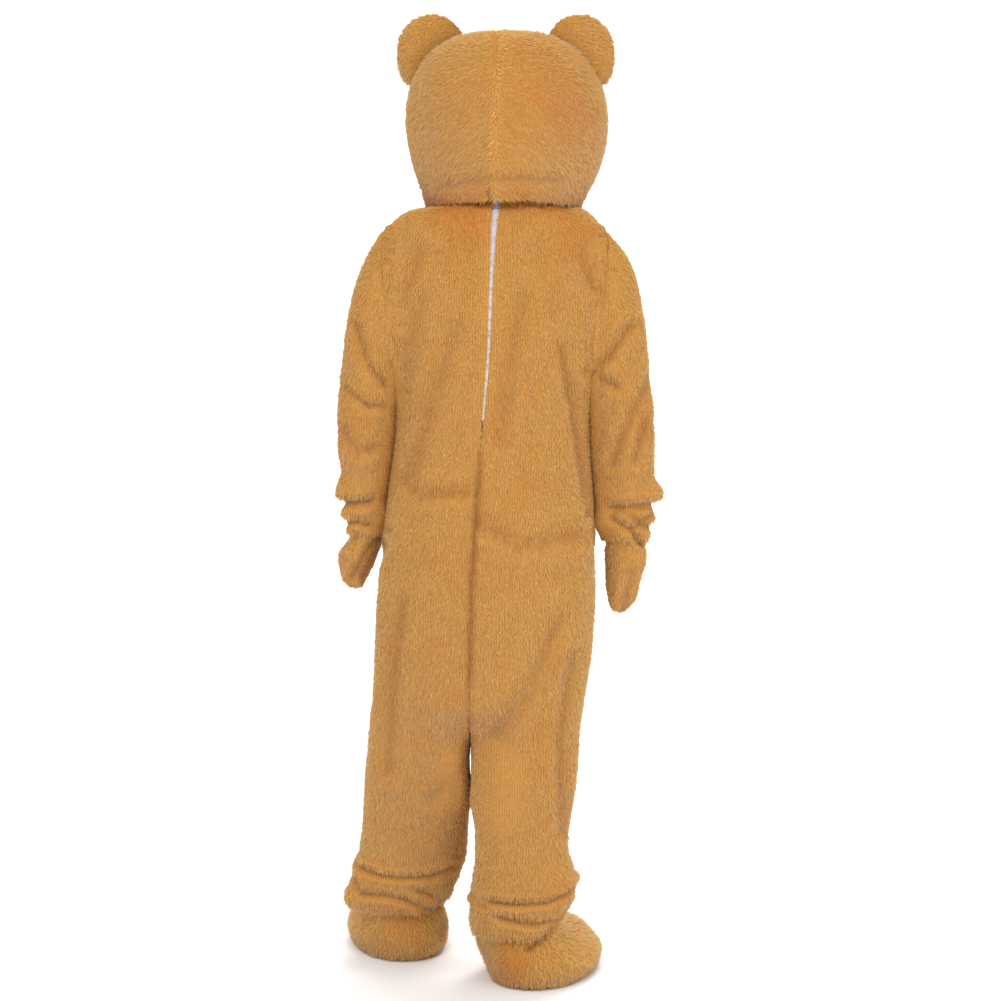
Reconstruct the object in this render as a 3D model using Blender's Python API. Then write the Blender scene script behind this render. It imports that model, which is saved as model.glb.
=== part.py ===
"""Bear mascot costume: a worn plush suit, its head, mittens and paw shoe covers.

Every cloth piece is a wall through sections worked out from named sizes. Heights in
the tables are millimetres above the floor that the soles stand on. The model's own
origin lies between the shoulders, at the neck base. The face looks along -Y and the
costume's left side is at +X.
"""

import math
from collections import namedtuple

import bmesh
import bpy
import numpy as np

MM = 0.001
ORIGIN_HEIGHT = 1400.0
SEAM_GAP = 0.3
PILE_WALL = 6.0
SLEEVE_WALL = 6.0
MITTEN_WALL = 4.5
SHOE_WALL = 6.0
HEAD_WALL = 11.0
ROUNDNESS = 2.3
STEP = 1e-3

LEFT, RIGHT = 1, -1
BACK, FRONT = 1, -1
SIDE_NAME = {LEFT: "left", RIGHT: "right"}
FACE_NAME = {BACK: "back", FRONT: "front"}

# The suit's body, one row for each level: its middle, its half width to the side seam,
# its depths behind and before the middle, and where the centre back seam runs.
Torso = namedtuple("Torso", "height centre_x half_width back_depth front_depth seam_x")
TORSO = [
    Torso(1470, 6, 104, 82, 86, 6),
    Torso(1450, 6, 106, 84, 88, 6.5),
    Torso(1436, 6, 108, 86, 90, 6.5),
    Torso(1427, 6, 112, 89, 93, 7),
    Torso(1422.5, 6, 124, 93, 97, 7),
    Torso(1420, 7, 150, 100, 104, 8),
    Torso(1403, 10, 186, 108, 112, 10),
    Torso(1388, 10, 202, 113, 117, 12),
    Torso(1320, 10, 197, 124, 132, 15),
    Torso(1256, 12, 189, 131, 146, 18),
    Torso(1164, 13, 181, 137, 158, 21),
    Torso(1081, 14, 176, 139, 168, 28),
    Torso(1044, 14, 174, 139, 171, 31),
    Torso(979, 16, 178, 142, 174, 37),
    Torso(886, 19, 186, 149, 174, 44),
    Torso(774, 23, 199, 157, 170, 51),
    Torso(700, 27, 205, 160, 163, 54),
    Torso(607, 32, 204, 158, 153, 57),
    Torso(512, 42, 199, 150, 142, 58),
    Torso(428, 49, 200, 138, 132, 57),
    Torso(370, 52, 202, 130, 126, 56),
]

# The trouser legs, with the rolls where the plush bunches over the shoes.
Leg = namedtuple("Leg", "height centre_x half_width half_depth")
LEGS = {
    LEFT: [
        Leg(520, 150, 95, 122),
        Leg(420, 155, 97, 118),
        Leg(349, 159, 101, 112),
        Leg(268, 162, 103, 108),
        Leg(200, 169, 106, 106),
        Leg(182, 174, 109, 108),
        Leg(166, 178, 105, 103),
        Leg(150, 182, 107, 106),
        Leg(134, 188, 102, 101),
        Leg(116, 194, 105, 104),
        Leg(96, 194, 98, 98),
    ],
    RIGHT: [
        Leg(520, -44, 100, 122),
        Leg(432, -46, 101, 118),
        Leg(368, -45, 98, 112),
        Leg(295, -41, 92, 107),
        Leg(240, -38, 87, 103),
        Leg(206, -44, 94, 105),
        Leg(190, -47, 102, 108),
        Leg(173, -45, 99, 102),
        Leg(157, -41, 102, 105),
        Leg(141, -39, 95, 98),
        Leg(122, -36, 97, 102),
        Leg(104, -35, 95, 100),
        Leg(88, -34, 91, 96),
    ],
}

# How far each leg stands before (-) or behind (+) the body's middle.
Stride = namedtuple("Stride", "height left right")
STRIDE = [
    Stride(1000, 0, 0),
    Stride(850, -4, 2),
    Stride(600, -22, 12),
    Stride(428, -45, 25),
    Stride(268, -92, 44),
    Stride(166, -118, 53),
    Stride(88, -130, 55),
]

# The trouser hem's lift over the shoe at the inseam, the back, the side and the front.
HEM_LIFT = {LEFT: (14, 0, 6, 9.8), RIGHT: (0, 4, 44, 16.8)}
HEM_LIFT_FROM = 210.0

CROTCH_TOP = 530.0
CROTCH_BOTTOM = 396.0
STRIDE_SETTLES = 170.0

ARMHOLE_TOP = 1388.0
ARMHOLE_BOTTOM = 1081.0
ARMHOLE_DEPTH = 76.0

# The white zip's slit between the back panels: half its width at each level.
Slit = namedtuple("Slit", "height half_width")
ZIP_SLIT = [
    Slit(1470, 7.4),
    Slit(1430, 7.2),
    Slit(1366, 5.2),
    Slit(1293, 3.9),
    Slit(1164, 3.1),
    Slit(1026, 2.0),
]
ZIP_END = 1026.0
TAPE_THICKNESS = 2.0
TAPE_DEPTH = 1.5

# Large folds of a panel: from one place to another, each as a share of the panel's
# width from its centre seam and a height, with half the fold's width and its depth.
Fold = namedtuple("Fold", "side face start_u start_height end_u end_height half_width depth")
FOLDS = [
    Fold(LEFT, BACK, 0.06, 425, 0.34, 318, 24, 7),
    Fold(RIGHT, BACK, 0.78, 662, 0.26, 440, 30, 6),
    Fold(RIGHT, BACK, 0.95, 345, 0.6, 258, 26, 5),
    Fold(LEFT, BACK, 0.96, 1010, 0.55, 905, 30, 5),
    Fold(RIGHT, BACK, 0.96, 1020, 0.6, 900, 30, 5),
    Fold(LEFT, FRONT, 0.06, 430, 0.4, 330, 26, 7),
    Fold(RIGHT, FRONT, 0.06, 440, 0.45, 340, 26, 7),
    Fold(LEFT, FRONT, 0.95, 1015, 0.5, 880, 30, 6),
    Fold(RIGHT, FRONT, 0.95, 1000, 0.55, 905, 30, 5),
    Fold(LEFT, FRONT, 0.8, 655, 0.35, 500, 32, 6),
]

# Sleeve rings, from the armhole to the cuff: a point by the body, a point on the outer
# side, then the ring's middle and half depth from front to back.
Ring = namedtuple("Ring", "inner_x inner_height outer_x outer_height centre_y half_depth")
SLEEVES = {
    LEFT: [
        Ring(190.5, 1076, 236, 1364, 0, 78),
        Ring(191.5, 1068, 256, 1322, 0, 79),
        Ring(192.5, 1057, 274, 1271, -1, 78),
        Ring(193.5, 1044, 285, 1216, -2, 76),
        Ring(194.5, 1028, 291, 1160, -3, 74),
        Ring(196, 1010, 297, 1105, -4, 72),
        Ring(199, 987, 301.5, 1054, -6, 69),
        Ring(201.5, 965, 303.5, 1006, -8, 65),
        Ring(204.5, 946, 303.5, 965, -10, 61),
        Ring(207, 929, 294, 941, -11, 55),
        Ring(209, 915, 302.5, 922, -12, 58),
        Ring(210.5, 901, 304, 904, -13, 56),
        Ring(213, 888, 294, 888, -14, 49),
        Ring(214, 871, 292, 872, -15, 49),
        Ring(216, 853, 289.5, 853, -17, 46),
        Ring(218, 836, 288, 835, -18, 46),
        Ring(221, 821, 284, 818, -19, 42),
    ],
    RIGHT: [
        Ring(-162.5, 1076, -218, 1364, 0, 78),
        Ring(-163.5, 1068, -239, 1328, 0, 79),
        Ring(-164.5, 1057, -254, 1286, -1, 78),
        Ring(-165.5, 1044, -264, 1242, -2, 77),
        Ring(-166.5, 1028, -271, 1190, -3, 76),
        Ring(-167.5, 1010, -275.5, 1135, -4, 74),
        Ring(-169, 987, -280, 1080, -5, 72),
        Ring(-170.5, 965, -285, 1028, -6, 69),
        Ring(-172, 944, -286.5, 983, -7, 66),
        Ring(-173, 928, -288, 946, -8, 64),
        Ring(-174, 913, -286, 923, -9, 60),
        Ring(-174.5, 898, -306, 901, -10, 64),
        Ring(-176, 884, -290, 882, -11, 55),
        Ring(-177.5, 869, -279, 866, -12, 53),
        Ring(-180, 851, -285, 847, -13, 54),
        Ring(-184, 832, -277, 827, -14, 49),
        Ring(-190, 811, -273, 804, -15, 45),
    ],
}
SLEEVE_FIRST_GAP = 0.5
CUFF_RINGS = 3
CUFF_CLEARANCE = 0.5

# Mittens below the cuff, with the same columns.
MITTENS = {
    LEFT: [
        Ring(222.5, 805, 290, 801, -20, 44),
        Ring(225, 790, 300, 785, -21, 51),
        Ring(230, 774, 303, 771, -22, 53),
        Ring(237, 757, 300.5, 756, -23, 49),
        Ring(245, 743, 296, 743, -23, 41),
        Ring(253, 731, 288, 731, -23, 29),
        Ring(261, 724, 278, 724, -23, 14),
    ],
    RIGHT: [
        Ring(-191.5, 791, -272, 788, -16, 47),
        Ring(-193.5, 772, -268, 770, -17, 51),
        Ring(-194.5, 752, -264, 750, -18, 52),
        Ring(-195, 731, -261, 731, -19, 49),
        Ring(-196, 713, -255, 713, -20, 44),
        Ring(-200, 696, -247, 696, -20, 36),
        Ring(-206.5, 683, -240, 683, -20, 26),
        Ring(-213.5, 676, -232, 676, -20, 13),
    ],
}
# The valley between thumb and fingers: direction round the ring, half angle, depth.
CLEFT_DIRECTION = {LEFT: 118.0, RIGHT: 64.0}
CLEFT_HALF_ANGLE = 24.0
CLEFT_DEPTH = 0.24

# Shoe covers about the ankle's axis: how much of the footprint's offset applies, the
# ring's middle along the foot, and half its length and width.
Dome = namedtuple("Dome", "height offset_share centre_y half_length half_width")
SHOE_DOME = [
    Dome(8, 1.0, -62, 158, 98),
    Dome(20, 1.0, -62, 165, 104),
    Dome(36, 1.0, -62, 168, 107),
    Dome(54, 0.85, -58, 161, 103),
    Dome(69, 0.6, -47, 141, 94),
    Dome(82, 0.3, -29, 112, 84),
    Dome(98, 0.1, -11, 87, 77),
    Dome(118, 0.0, -2, 74, 71),
    Dome(145, 0.0, 0, 66, 64),
    Dome(168, 0.0, 0, 62, 61),
]
ANKLE = {LEFT: (194.0, -130.0), RIGHT: (-34.0, 55.0)}
FOOTPRINT_OFFSET = {LEFT: (-3.0, -17.0), RIGHT: (-31.0, 2.0)}
TOE_OUT = {LEFT: 9.0, RIGHT: 14.0}
FOOTPRINT_BREADTH = {LEFT: 0.93, RIGHT: 1.0}
SOLE_THICKNESS = 7.7

# The head: half its width, and its depth behind and before its middle.
Head = namedtuple("Head", "height centre_x half_width back_depth front_depth seam_x")
HEAD = [
    Head(1424, -5, 146, 148, 140, 8),
    Head(1442, -7, 150, 152, 143, 13),
    Head(1460, -9, 159, 160, 150, 15),
    Head(1498, -12, 175, 174, 165, 15),
    Head(1536, -12, 184, 183, 175, 13),
    Head(1577, -12, 190, 188, 180, 11),
    Head(1615, -11, 188, 187, 179, 8),
    Head(1653, -10, 177, 177, 169, 5),
    Head(1691, -9, 157, 158, 150, 1),
    Head(1715, -8, 134, 136, 129, -2),
    Head(1735, -7, 103, 106, 100, -4),
    Head(1748, -6, 68, 71, 67, -5),
    Head(1754, -6, 38, 40, 38, -6),
]
HEAD_TOP = 1752.0
HEAD_TOP_X = -6.0
HEAD_MIDDLE_Y = -15.0
HEAD_HEM_SIDES = 1423.5
HEAD_HEM_ARCH = 11.0
HEAD_SIDE_SEAM = 82.0
HEAD_ROWS = (1446, 1478, 1516, 1556, 1596, 1634, 1668, 1697, 1720, 1738, 1749)

EAR_RADIUS = 71.0
EAR_HALF_THICKNESS = 25.0
EAR_CENTRE = {LEFT: (123.0, 1712.0), RIGHT: (-142.0, 1712.0)}
EAR_TILT = 40.0
EAR_CHORD_BELOW = 12.0
PAD_GAP = 0.9

MUZZLE_HEIGHT = 1535.0
MUZZLE_HALF_WIDTH = 74.0
MUZZLE_HALF_HEIGHT = 54.0
MUZZLE_REACH = 62.0
MUZZLE_TIP_SHARE = 0.42
NOSE_HALF_WIDTH = 27.0
NOSE_HALF_HEIGHT = 18.0
NOSE_REACH = 20.0
NOSE_RISE = 6.0
EYE_RADIUS = 16.0
EYE_REACH = 11.0
EYE_SPREAD = 27.0
EYE_HEIGHT = 1612.0

SLIDER_HEIGHT = 1459.0
SLIDER_LENGTH = 13.0
SLIDER_WIDTH = 10.0
SLIDER_FLOOR = 2.2
SLIDER_CHEEK = 1.2
SLIDER_CHEEK_REACH = 2.4
PULL_LENGTH = 21.0
PULL_THICKNESS = 1.2
PULL_CLEARANCE = 0.4
PULL_START = 1.5
SLIDER_SEAT = SEAM_GAP - TAPE_DEPTH

PANEL_COLUMNS = 8
SLEEVE_SIDES = 14
SHOE_SIDES = 16
HEAD_BACK_COLUMNS = 8
HEAD_FACE_COLUMNS = 14
PAD_SIDES = 14


class Profile:
    """Smooth curves through a table's rows, one curve for each named column."""

    def __init__(self, rows):
        ordered = sorted(rows, key=lambda row: row[0])
        self.kind = type(ordered[0])
        self.data = np.array(ordered, dtype=float)
        self.heights = self.data[:, 0]
        self.slopes = self._slopes()

    def _slopes(self):
        gaps = np.diff(self.heights)[:, None]
        rates = np.diff(self.data, axis=0) / gaps
        slopes = np.zeros_like(self.data)
        slopes[0] = rates[0]
        slopes[-1] = rates[-1]
        product = rates[:-1] * rates[1:]
        total = rates[:-1] + rates[1:]
        safe = np.where(np.abs(total) > 1e-12, total, 1.0)
        slopes[1:-1] = np.where(product > 0, 2 * product / safe, 0.0)
        return slopes

    def at(self, height):
        value = min(max(height, self.heights[0]), self.heights[-1])
        index = int(np.searchsorted(self.heights, value) - 1)
        index = min(max(index, 0), len(self.heights) - 2)
        span = self.heights[index + 1] - self.heights[index]
        t = (value - self.heights[index]) / span
        first, last = self.data[index], self.data[index + 1]
        rise = t * t * (3 - 2 * t)
        row = first * (1 - rise) + last * rise
        row = row + span * t * (1 - t) ** 2 * self.slopes[index]
        row = row - span * t * t * (1 - t) * self.slopes[index + 1]
        return self.kind(*row)


TORSO_PROFILE = Profile(TORSO)
LEG_PROFILE = {side: Profile(rows) for side, rows in LEGS.items()}
STRIDE_PROFILE = Profile(STRIDE)
SLIT_PROFILE = Profile(ZIP_SLIT)
HEAD_PROFILE = Profile(HEAD)


def smooth_step(value):
    """Rise softly from 0 to 1."""
    t = min(max(value, 0.0), 1.0)
    return t * t * (3 - 2 * t)


def rounded(share, power):
    """A sine or cosine bent to a superellipse, with its sign kept."""
    return math.copysign(abs(share) ** power, share)


def oval(angle, half_x, half_y):
    """A point of an oval with slightly square shoulders, from the back towards the side."""
    power = 2.0 / ROUNDNESS
    return half_x * rounded(math.sin(angle), power), half_y * rounded(math.cos(angle), power)


def seam_angle(offset, half_width):
    """The oval's angle where it stands this far to the side of its middle."""
    share = min(max(offset / half_width, -0.99), 0.99)
    return math.asin(rounded(share, ROUNDNESS / 2.0))


def world(x, y, height):
    """Millimetres above the floor to metres in the model's frame."""
    return np.array((x * MM, y * MM, (height - ORIGIN_HEIGHT) * MM))


def armhole_edge(side, height):
    """The armhole's edge at one level: its x, and its distance before or behind the middle."""
    top = TORSO_PROFILE.at(ARMHOLE_TOP)
    bottom = TORSO_PROFILE.at(ARMHOLE_BOTTOM)
    share = (height - ARMHOLE_BOTTOM) / (ARMHOLE_TOP - ARMHOLE_BOTTOM)
    low_x = bottom.centre_x + side * bottom.half_width
    high_x = top.centre_x + side * top.half_width
    reach = max(0.0, 1.0 - (2 * share - 1) ** 2)
    return low_x + share * (high_x - low_x), ARMHOLE_DEPTH * math.sqrt(reach)


def armhole_centre(side):
    middle = (ARMHOLE_TOP + ARMHOLE_BOTTOM) / 2
    return world(armhole_edge(side, middle)[0], 0.0, middle)


def in_armhole(height):
    return ARMHOLE_BOTTOM < height < ARMHOLE_TOP


def torso_point(side, face, u, height):
    """A point of the suit's body: u runs from the centre seam to the side."""
    row = TORSO_PROFILE.at(height)
    depth = row.back_depth if face == BACK else row.front_depth
    half_width = row.half_width
    end = math.pi / 2
    if in_armhole(height):
        edge_x, edge_y = armhole_edge(side, height)
        end = math.acos(min(edge_y / depth, 1.0) ** (ROUNDNESS / 2.0))
        half_width = abs(edge_x - row.centre_x) / math.sin(end) ** (2.0 / ROUNDNESS)
    start = side * seam_angle(face * (row.seam_x - row.centre_x), half_width)
    across, along = oval(start + u * (end - start), half_width, depth)
    return row.centre_x + side * across, face * along


def leg_point(side, face, u, height):
    """A point of a trouser leg: u runs from the inseam round to the side seam."""
    row = LEG_PROFILE[side].at(height)
    across, along = oval(math.pi * (u - 0.5), row.half_width, row.half_depth)
    return row.centre_x + side * across, face * along


def stride_shift(side, u, height):
    row = STRIDE_PROFILE.at(height)
    full = row.left if side == LEFT else row.right
    settled = smooth_step((CROTCH_BOTTOM - height) / STRIDE_SETTLES)
    return full * (settled + (1 - settled) * smooth_step(u * 2.0))


def hem_height(side, face, u, height):
    """Lift the lowest rows over the shoe."""
    inseam, back, outer, front = HEM_LIFT[side]
    middle = back if face == BACK else front
    around = inseam + (outer - inseam) * u
    lift = around + (middle - around) * math.sin(math.pi * min(max(u, 0), 1)) ** 2
    bottom = LEG_PROFILE[side].heights[0]
    fade = (HEM_LIFT_FROM - height) / (HEM_LIFT_FROM - bottom)
    return height + lift * min(max(fade, 0.0), 1.0)


def suit_point(side, face, u, height):
    """A point of the suit, body and leg blended into each other at the crotch."""
    level = min(max(height, LEG_PROFILE[side].heights[0]), TORSO[0].height)
    share = smooth_step((CROTCH_TOP - level) / (CROTCH_TOP - CROTCH_BOTTOM))
    if share <= 0.0:
        x, y = torso_point(side, face, u, level)
    elif share >= 1.0:
        x, y = leg_point(side, face, u, level)
    else:
        body = torso_point(side, face, u, level)
        leg = leg_point(side, face, u, level)
        x = body[0] * (1 - share) + leg[0] * share
        y = body[1] * (1 - share) + leg[1] * share
    y += stride_shift(side, u, level)
    return world(x, y, hem_height(side, face, u, height))


def unit(vector):
    length = np.linalg.norm(vector)
    return vector / length if length > 1e-12 else vector


def outward(function, u, height, toward):
    """A surface's outward direction, from its own slopes."""
    along_u = function(u + STEP, height) - function(u - STEP, height)
    along_h = function(u, height + 1.0) - function(u, height - 1.0)
    direction = unit(np.cross(along_u, along_h))
    return direction if np.dot(direction, toward) > 0 else -direction


def fold_depth(side, face, u, height, width):
    """How deep the panel's folds are at one place, in millimetres."""
    depth = 0.0
    for fold in FOLDS:
        if (fold.side, fold.face) != (side, face):
            continue
        start = np.array((fold.start_u * width, fold.start_height))
        end = np.array((fold.end_u * width, fold.end_height))
        here = np.array((u * width, height))
        run = end - start
        share = np.dot(here - start, run) / np.dot(run, run)
        nearest = start + min(max(share, 0.0), 1.0) * run
        away = np.linalg.norm(here - nearest) / fold.half_width
        depth += fold.depth * math.exp(-away * away)
    return depth


def panel_heights():
    """The levels of a suit panel's rows, closer together where its form turns."""
    neck = list(np.linspace(TORSO[0].height, 1436, 3)) + [1428, 1422.5, 1417, 1407, 1398]
    middle = (ARMHOLE_TOP + ARMHOLE_BOTTOM) / 2
    reach = (ARMHOLE_TOP - ARMHOLE_BOTTOM) / 2
    armhole = [middle + reach * math.cos(math.pi * step / 9) for step in range(10)]
    armhole[0], armhole[-1] = ARMHOLE_TOP, ARMHOLE_BOTTOM
    trunk = list(np.linspace(ARMHOLE_BOTTOM, CROTCH_TOP, 14))[1:]
    crotch = list(np.linspace(CROTCH_TOP, CROTCH_BOTTOM, 7))[1:]
    shin = list(np.linspace(CROTCH_BOTTOM, HEM_LIFT_FROM, 6))[1:]
    return neck + armhole + trunk + crotch + shin


def wall_object(name, outer, inner, material, closed_columns=False, tip=False):
    """A closed wall between an outer and an inner grid of points, rows by columns."""
    mesh = bpy.data.meshes.new(name)
    shape = bmesh.new()
    skins = []
    for grid in (outer, inner):
        skins.append([[shape.verts.new(point) for point in row] for row in grid])
    rows, columns = len(outer), len(outer[0])
    spans = columns if closed_columns else columns - 1
    for layer, skin in enumerate(skins):
        for i in range(rows - 1):
            for j in range(spans):
                k = (j + 1) % columns
                face = [skin[i][j], skin[i + 1][j], skin[i + 1][k], skin[i][k]]
                shape.faces.new(face if layer == 0 else face[::-1])
    out, back = skins
    for i in (0,) if tip else (0, rows - 1):
        for j in range(spans):
            k = (j + 1) % columns
            face = [out[i][j], out[i][k], back[i][k], back[i][j]]
            shape.faces.new(face if i == 0 else face[::-1])
    if tip:
        shape.faces.new([out[-1][j] for j in range(columns)])
        shape.faces.new([back[-1][j] for j in range(columns)][::-1])
    if not closed_columns:
        for j in (0, columns - 1):
            for i in range(rows - 1):
                face = [out[i][j], back[i][j], back[i + 1][j], out[i + 1][j]]
                shape.faces.new(face if j == 0 else face[::-1])
    return finish_shape(name, shape, mesh, material)


def finish_shape(name, shape, mesh, material):
    """Close a shape's doubles, turn its faces outwards and link it to the scene."""
    bmesh.ops.remove_doubles(shape, verts=shape.verts, dist=2e-6)
    bmesh.ops.dissolve_degenerate(shape, edges=shape.edges, dist=2e-6)
    bmesh.ops.triangulate(shape, faces=shape.faces)
    bmesh.ops.recalc_face_normals(shape, faces=shape.faces)
    shape.to_mesh(mesh)
    shape.free()
    mesh.shade_smooth()
    mesh.set_sharp_from_angle(angle=math.radians(50))
    mesh.materials.append(material)
    part = bpy.data.objects.new(name, mesh)
    bpy.context.collection.objects.link(part)
    return part


def surface_material(name, colour, roughness, metallic=0.0):
    material = bpy.data.materials.new(name)
    material.use_nodes = True
    shader = material.node_tree.nodes["Principled BSDF"]
    shader.inputs["Base Color"].default_value = (*colour, 1.0)
    shader.inputs["Roughness"].default_value = roughness
    shader.inputs["Metallic"].default_value = metallic
    return material


def panel_edge_width(face, side, height):
    """Half of the slit that the zip leaves between the back panels, with the seam's gap."""
    slit = SLIT_PROFILE.at(height).half_width if face == BACK and height > ZIP_END else 0.0
    return max(slit, SEAM_GAP / 2)


def edge_share(side, face, height):
    """The share of the panel's width at which its centre edge starts."""
    start = suit_point(side, face, 0.0, height)
    near = suit_point(side, face, 0.02, height)
    slope = np.linalg.norm(near - start) / (0.02 * MM)
    wide = panel_edge_width(face, side, height)
    if height < CROTCH_BOTTOM:
        wide = SEAM_GAP / 2
    return wide / slope


def suit_panel(side, face, material):
    """One quarter of the suit, from its centre seam to its side seam and down one leg."""
    heights = panel_heights()
    bottom = LEG_PROFILE[side].heights[0]
    heights += list(np.linspace(HEM_LIFT_FROM, bottom, 10))[1:]
    columns = PANEL_COLUMNS + 1
    outer, inner = [], []
    centre = armhole_centre(side)
    for height in heights:
        start = edge_share(side, face, height)
        end = 1.0 - start_of_side_gap(side, face, height)
        outer_row, inner_row = [], []
        shares = [start + (end - start) * j / (columns - 1) for j in range(columns)]
        for j, u in enumerate(shares):
            point = suit_point(side, face, u, height)
            toward = point - axis_point(side, height)
            normal = outward(lambda a, b: suit_point(side, face, a, b), u, height, toward)
            fade = smooth_step(u * 6) * smooth_step((1 - u) * 6)
            depth = fade * fold_depth(side, face, u, height, 280.0)
            point = point - normal * depth * MM
            under = point - normal * PILE_WALL * MM
            if j == columns - 1 and ARMHOLE_BOTTOM <= height <= ARMHOLE_TOP:
                under = point + unit(centre - point) * PILE_WALL * MM
            outer_row.append(point)
            inner_row.append(under)
        outer.append(outer_row)
        inner.append(inner_row)
    return wall_object(f"{FACE_NAME[face]}_{SIDE_NAME[side]}", outer, inner, material)


def start_of_side_gap(side, face, height):
    """The share of the panel's width that the side seam's gap takes."""
    end = suit_point(side, face, 1.0, height)
    near = suit_point(side, face, 0.98, height)
    return (SEAM_GAP / 2) * 0.02 * MM / np.linalg.norm(end - near)


def axis_point(side, height):
    """A point inside the suit at this level, which its outward directions lead away from."""
    body = TORSO_PROFILE.at(height)
    leg = LEG_PROFILE[side].at(height)
    share = smooth_step((CROTCH_TOP - height) / (CROTCH_TOP - CROTCH_BOTTOM))
    x = body.centre_x * (1 - share) + leg.centre_x * share
    return world(x, stride_shift(side, 1.0, height) * share, height)


def ring_points(ring, sides, shrink, cleft=None):
    """Points round a ring, seen from its outer side through the back."""
    inner = world(ring.inner_x, ring.centre_y, ring.inner_height)
    outer = world(ring.outer_x, ring.centre_y, ring.outer_height)
    middle = (inner + outer) / 2
    axis = (outer - inner) / 2
    length = np.linalg.norm(axis)
    axis = axis / length
    reach = length - shrink * MM
    depth = (ring.half_depth - shrink) * MM
    points = []
    for step in range(sides):
        angle = 2 * math.pi * step / sides
        across = axis * reach * math.cos(angle)
        along = np.array((0.0, depth * math.sin(angle), 0.0))
        scale = 1.0
        if cleft is not None:
            direction, share = cleft
            away = (math.degrees(angle) - direction + 180) % 360 - 180
            scale -= share * CLEFT_DEPTH * math.exp(-(away / CLEFT_HALF_ANGLE) ** 2)
        points.append(middle + (across + along) * scale)
    return points


def armhole_ring(side):
    """The sleeve's first ring, beside the armhole's edge."""
    low, high = armhole_edge(side, ARMHOLE_BOTTOM)[0], armhole_edge(side, ARMHOLE_TOP)[0]
    gap = side * SLEEVE_FIRST_GAP
    return Ring(low + gap, ARMHOLE_BOTTOM, high + gap, ARMHOLE_TOP, 0, ARMHOLE_DEPTH)


def sleeve(side, material):
    rings = [armhole_ring(side)] + SLEEVES[side]
    outer = [ring_points(ring, SLEEVE_SIDES, 0.0) for ring in rings]
    inner = [ring_points(ring, SLEEVE_SIDES, SLEEVE_WALL) for ring in rings]
    return wall_object(f"sleeve_{SIDE_NAME[side]}", outer, inner, material, closed_columns=True)


def mitten(side, material):
    """A hand cover whose wrist sits inside the sleeve's cuff."""
    tucked = SLEEVE_WALL + CUFF_CLEARANCE
    outer, inner = [], []
    for ring in SLEEVES[side][-CUFF_RINGS:]:
        outer.append(ring_points(ring, SLEEVE_SIDES, tucked))
        inner.append(ring_points(ring, SLEEVE_SIDES, tucked + MITTEN_WALL))
    rings = MITTENS[side]
    for index, ring in enumerate(rings):
        cleft = (CLEFT_DIRECTION[side], smooth_step((index - 1) / (len(rings) - 3)))
        outer.append(ring_points(ring, SLEEVE_SIDES, 0.0, cleft))
        shrink = min(MITTEN_WALL, ring.half_depth * 0.45)
        width = abs(ring.outer_x - ring.inner_x) / 2
        raised = ring._replace(inner_height=ring.inner_height + MITTEN_WALL,
                               outer_height=ring.outer_height + MITTEN_WALL)
        inner.append(ring_points(raised, SLEEVE_SIDES, min(shrink, width * 0.45), cleft))
    return wall_object(f"mitten_{SIDE_NAME[side]}", outer, inner, material,
                       closed_columns=True, tip=True)


def shoe_ring(side, row, shrink):
    """Points round a shoe cover at one level, wider at the toes than at the heel."""
    ankle_x, ankle_y = ANKLE[side]
    offset_x, offset_y = FOOTPRINT_OFFSET[side]
    turn = math.radians(TOE_OUT[side]) * side * row.offset_share
    breadth = 1.0 - (1.0 - FOOTPRINT_BREADTH[side]) * row.offset_share
    points = []
    for step in range(SHOE_SIDES):
        angle = 2 * math.pi * step / SHOE_SIDES
        along = row.centre_y + (row.half_length - shrink) * rounded(math.cos(angle), 0.92)
        across = (row.half_width * breadth - shrink) * rounded(math.sin(angle), 0.92)
        across *= 1.0 - 0.06 * math.cos(angle)
        x = ankle_x + offset_x * row.offset_share + across * math.cos(turn) - along * math.sin(turn)
        y = ankle_y + offset_y * row.offset_share + across * math.sin(turn) + along * math.cos(turn)
        points.append(world(x, y, row.height))
    return points


def shoe(side, plush, sole_material):
    outer = [shoe_ring(side, row, 0.0) for row in SHOE_DOME]
    inner = [shoe_ring(side, row, SHOE_WALL) for row in SHOE_DOME]
    wall_object(f"shoe_upper_{SIDE_NAME[side]}", outer, inner, plush, closed_columns=True)
    shape = bmesh.new()
    mesh = bpy.data.meshes.new(f"shoe_sole_{SIDE_NAME[side]}")
    edge = shoe_ring(side, SHOE_DOME[0], 0.0)
    lift = np.array((0.0, 0.0, (SOLE_THICKNESS - SHOE_DOME[0].height) * MM))
    drop = np.array((0.0, 0.0, -SHOE_DOME[0].height * MM))
    top = [shape.verts.new(point + lift) for point in edge]
    base = [shape.verts.new(point + drop) for point in edge]
    shape.faces.new(top)
    shape.faces.new(base[::-1])
    for j in range(SHOE_SIDES):
        k = (j + 1) % SHOE_SIDES
        shape.faces.new([top[j], base[j], base[k], top[k]])
    finish_shape(f"shoe_sole_{SIDE_NAME[side]}", shape, mesh, sole_material)


def head_point(angle, height):
    """A point of the head: the angle runs from the back, positive towards the left side."""
    if height >= HEAD_TOP:
        return world(HEAD_TOP_X, HEAD_MIDDLE_Y, HEAD_TOP)
    row = HEAD_PROFILE.at(height)
    depth = row.back_depth if math.cos(angle) > 0 else row.front_depth
    half_width = row.half_width
    last = HEAD[-1].height
    if height > last:
        share = math.sqrt(max(0.0, (HEAD_TOP - height) / (HEAD_TOP - last)))
        depth, half_width = depth * share, half_width * share
    across, along = half_width * math.sin(angle), depth * math.cos(angle)
    return world(row.centre_x + across, HEAD_MIDDLE_Y + along, height)


def head_seam(height):
    row = HEAD_PROFILE.at(height)
    return math.asin((row.seam_x - row.centre_x) / row.half_width)


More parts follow.
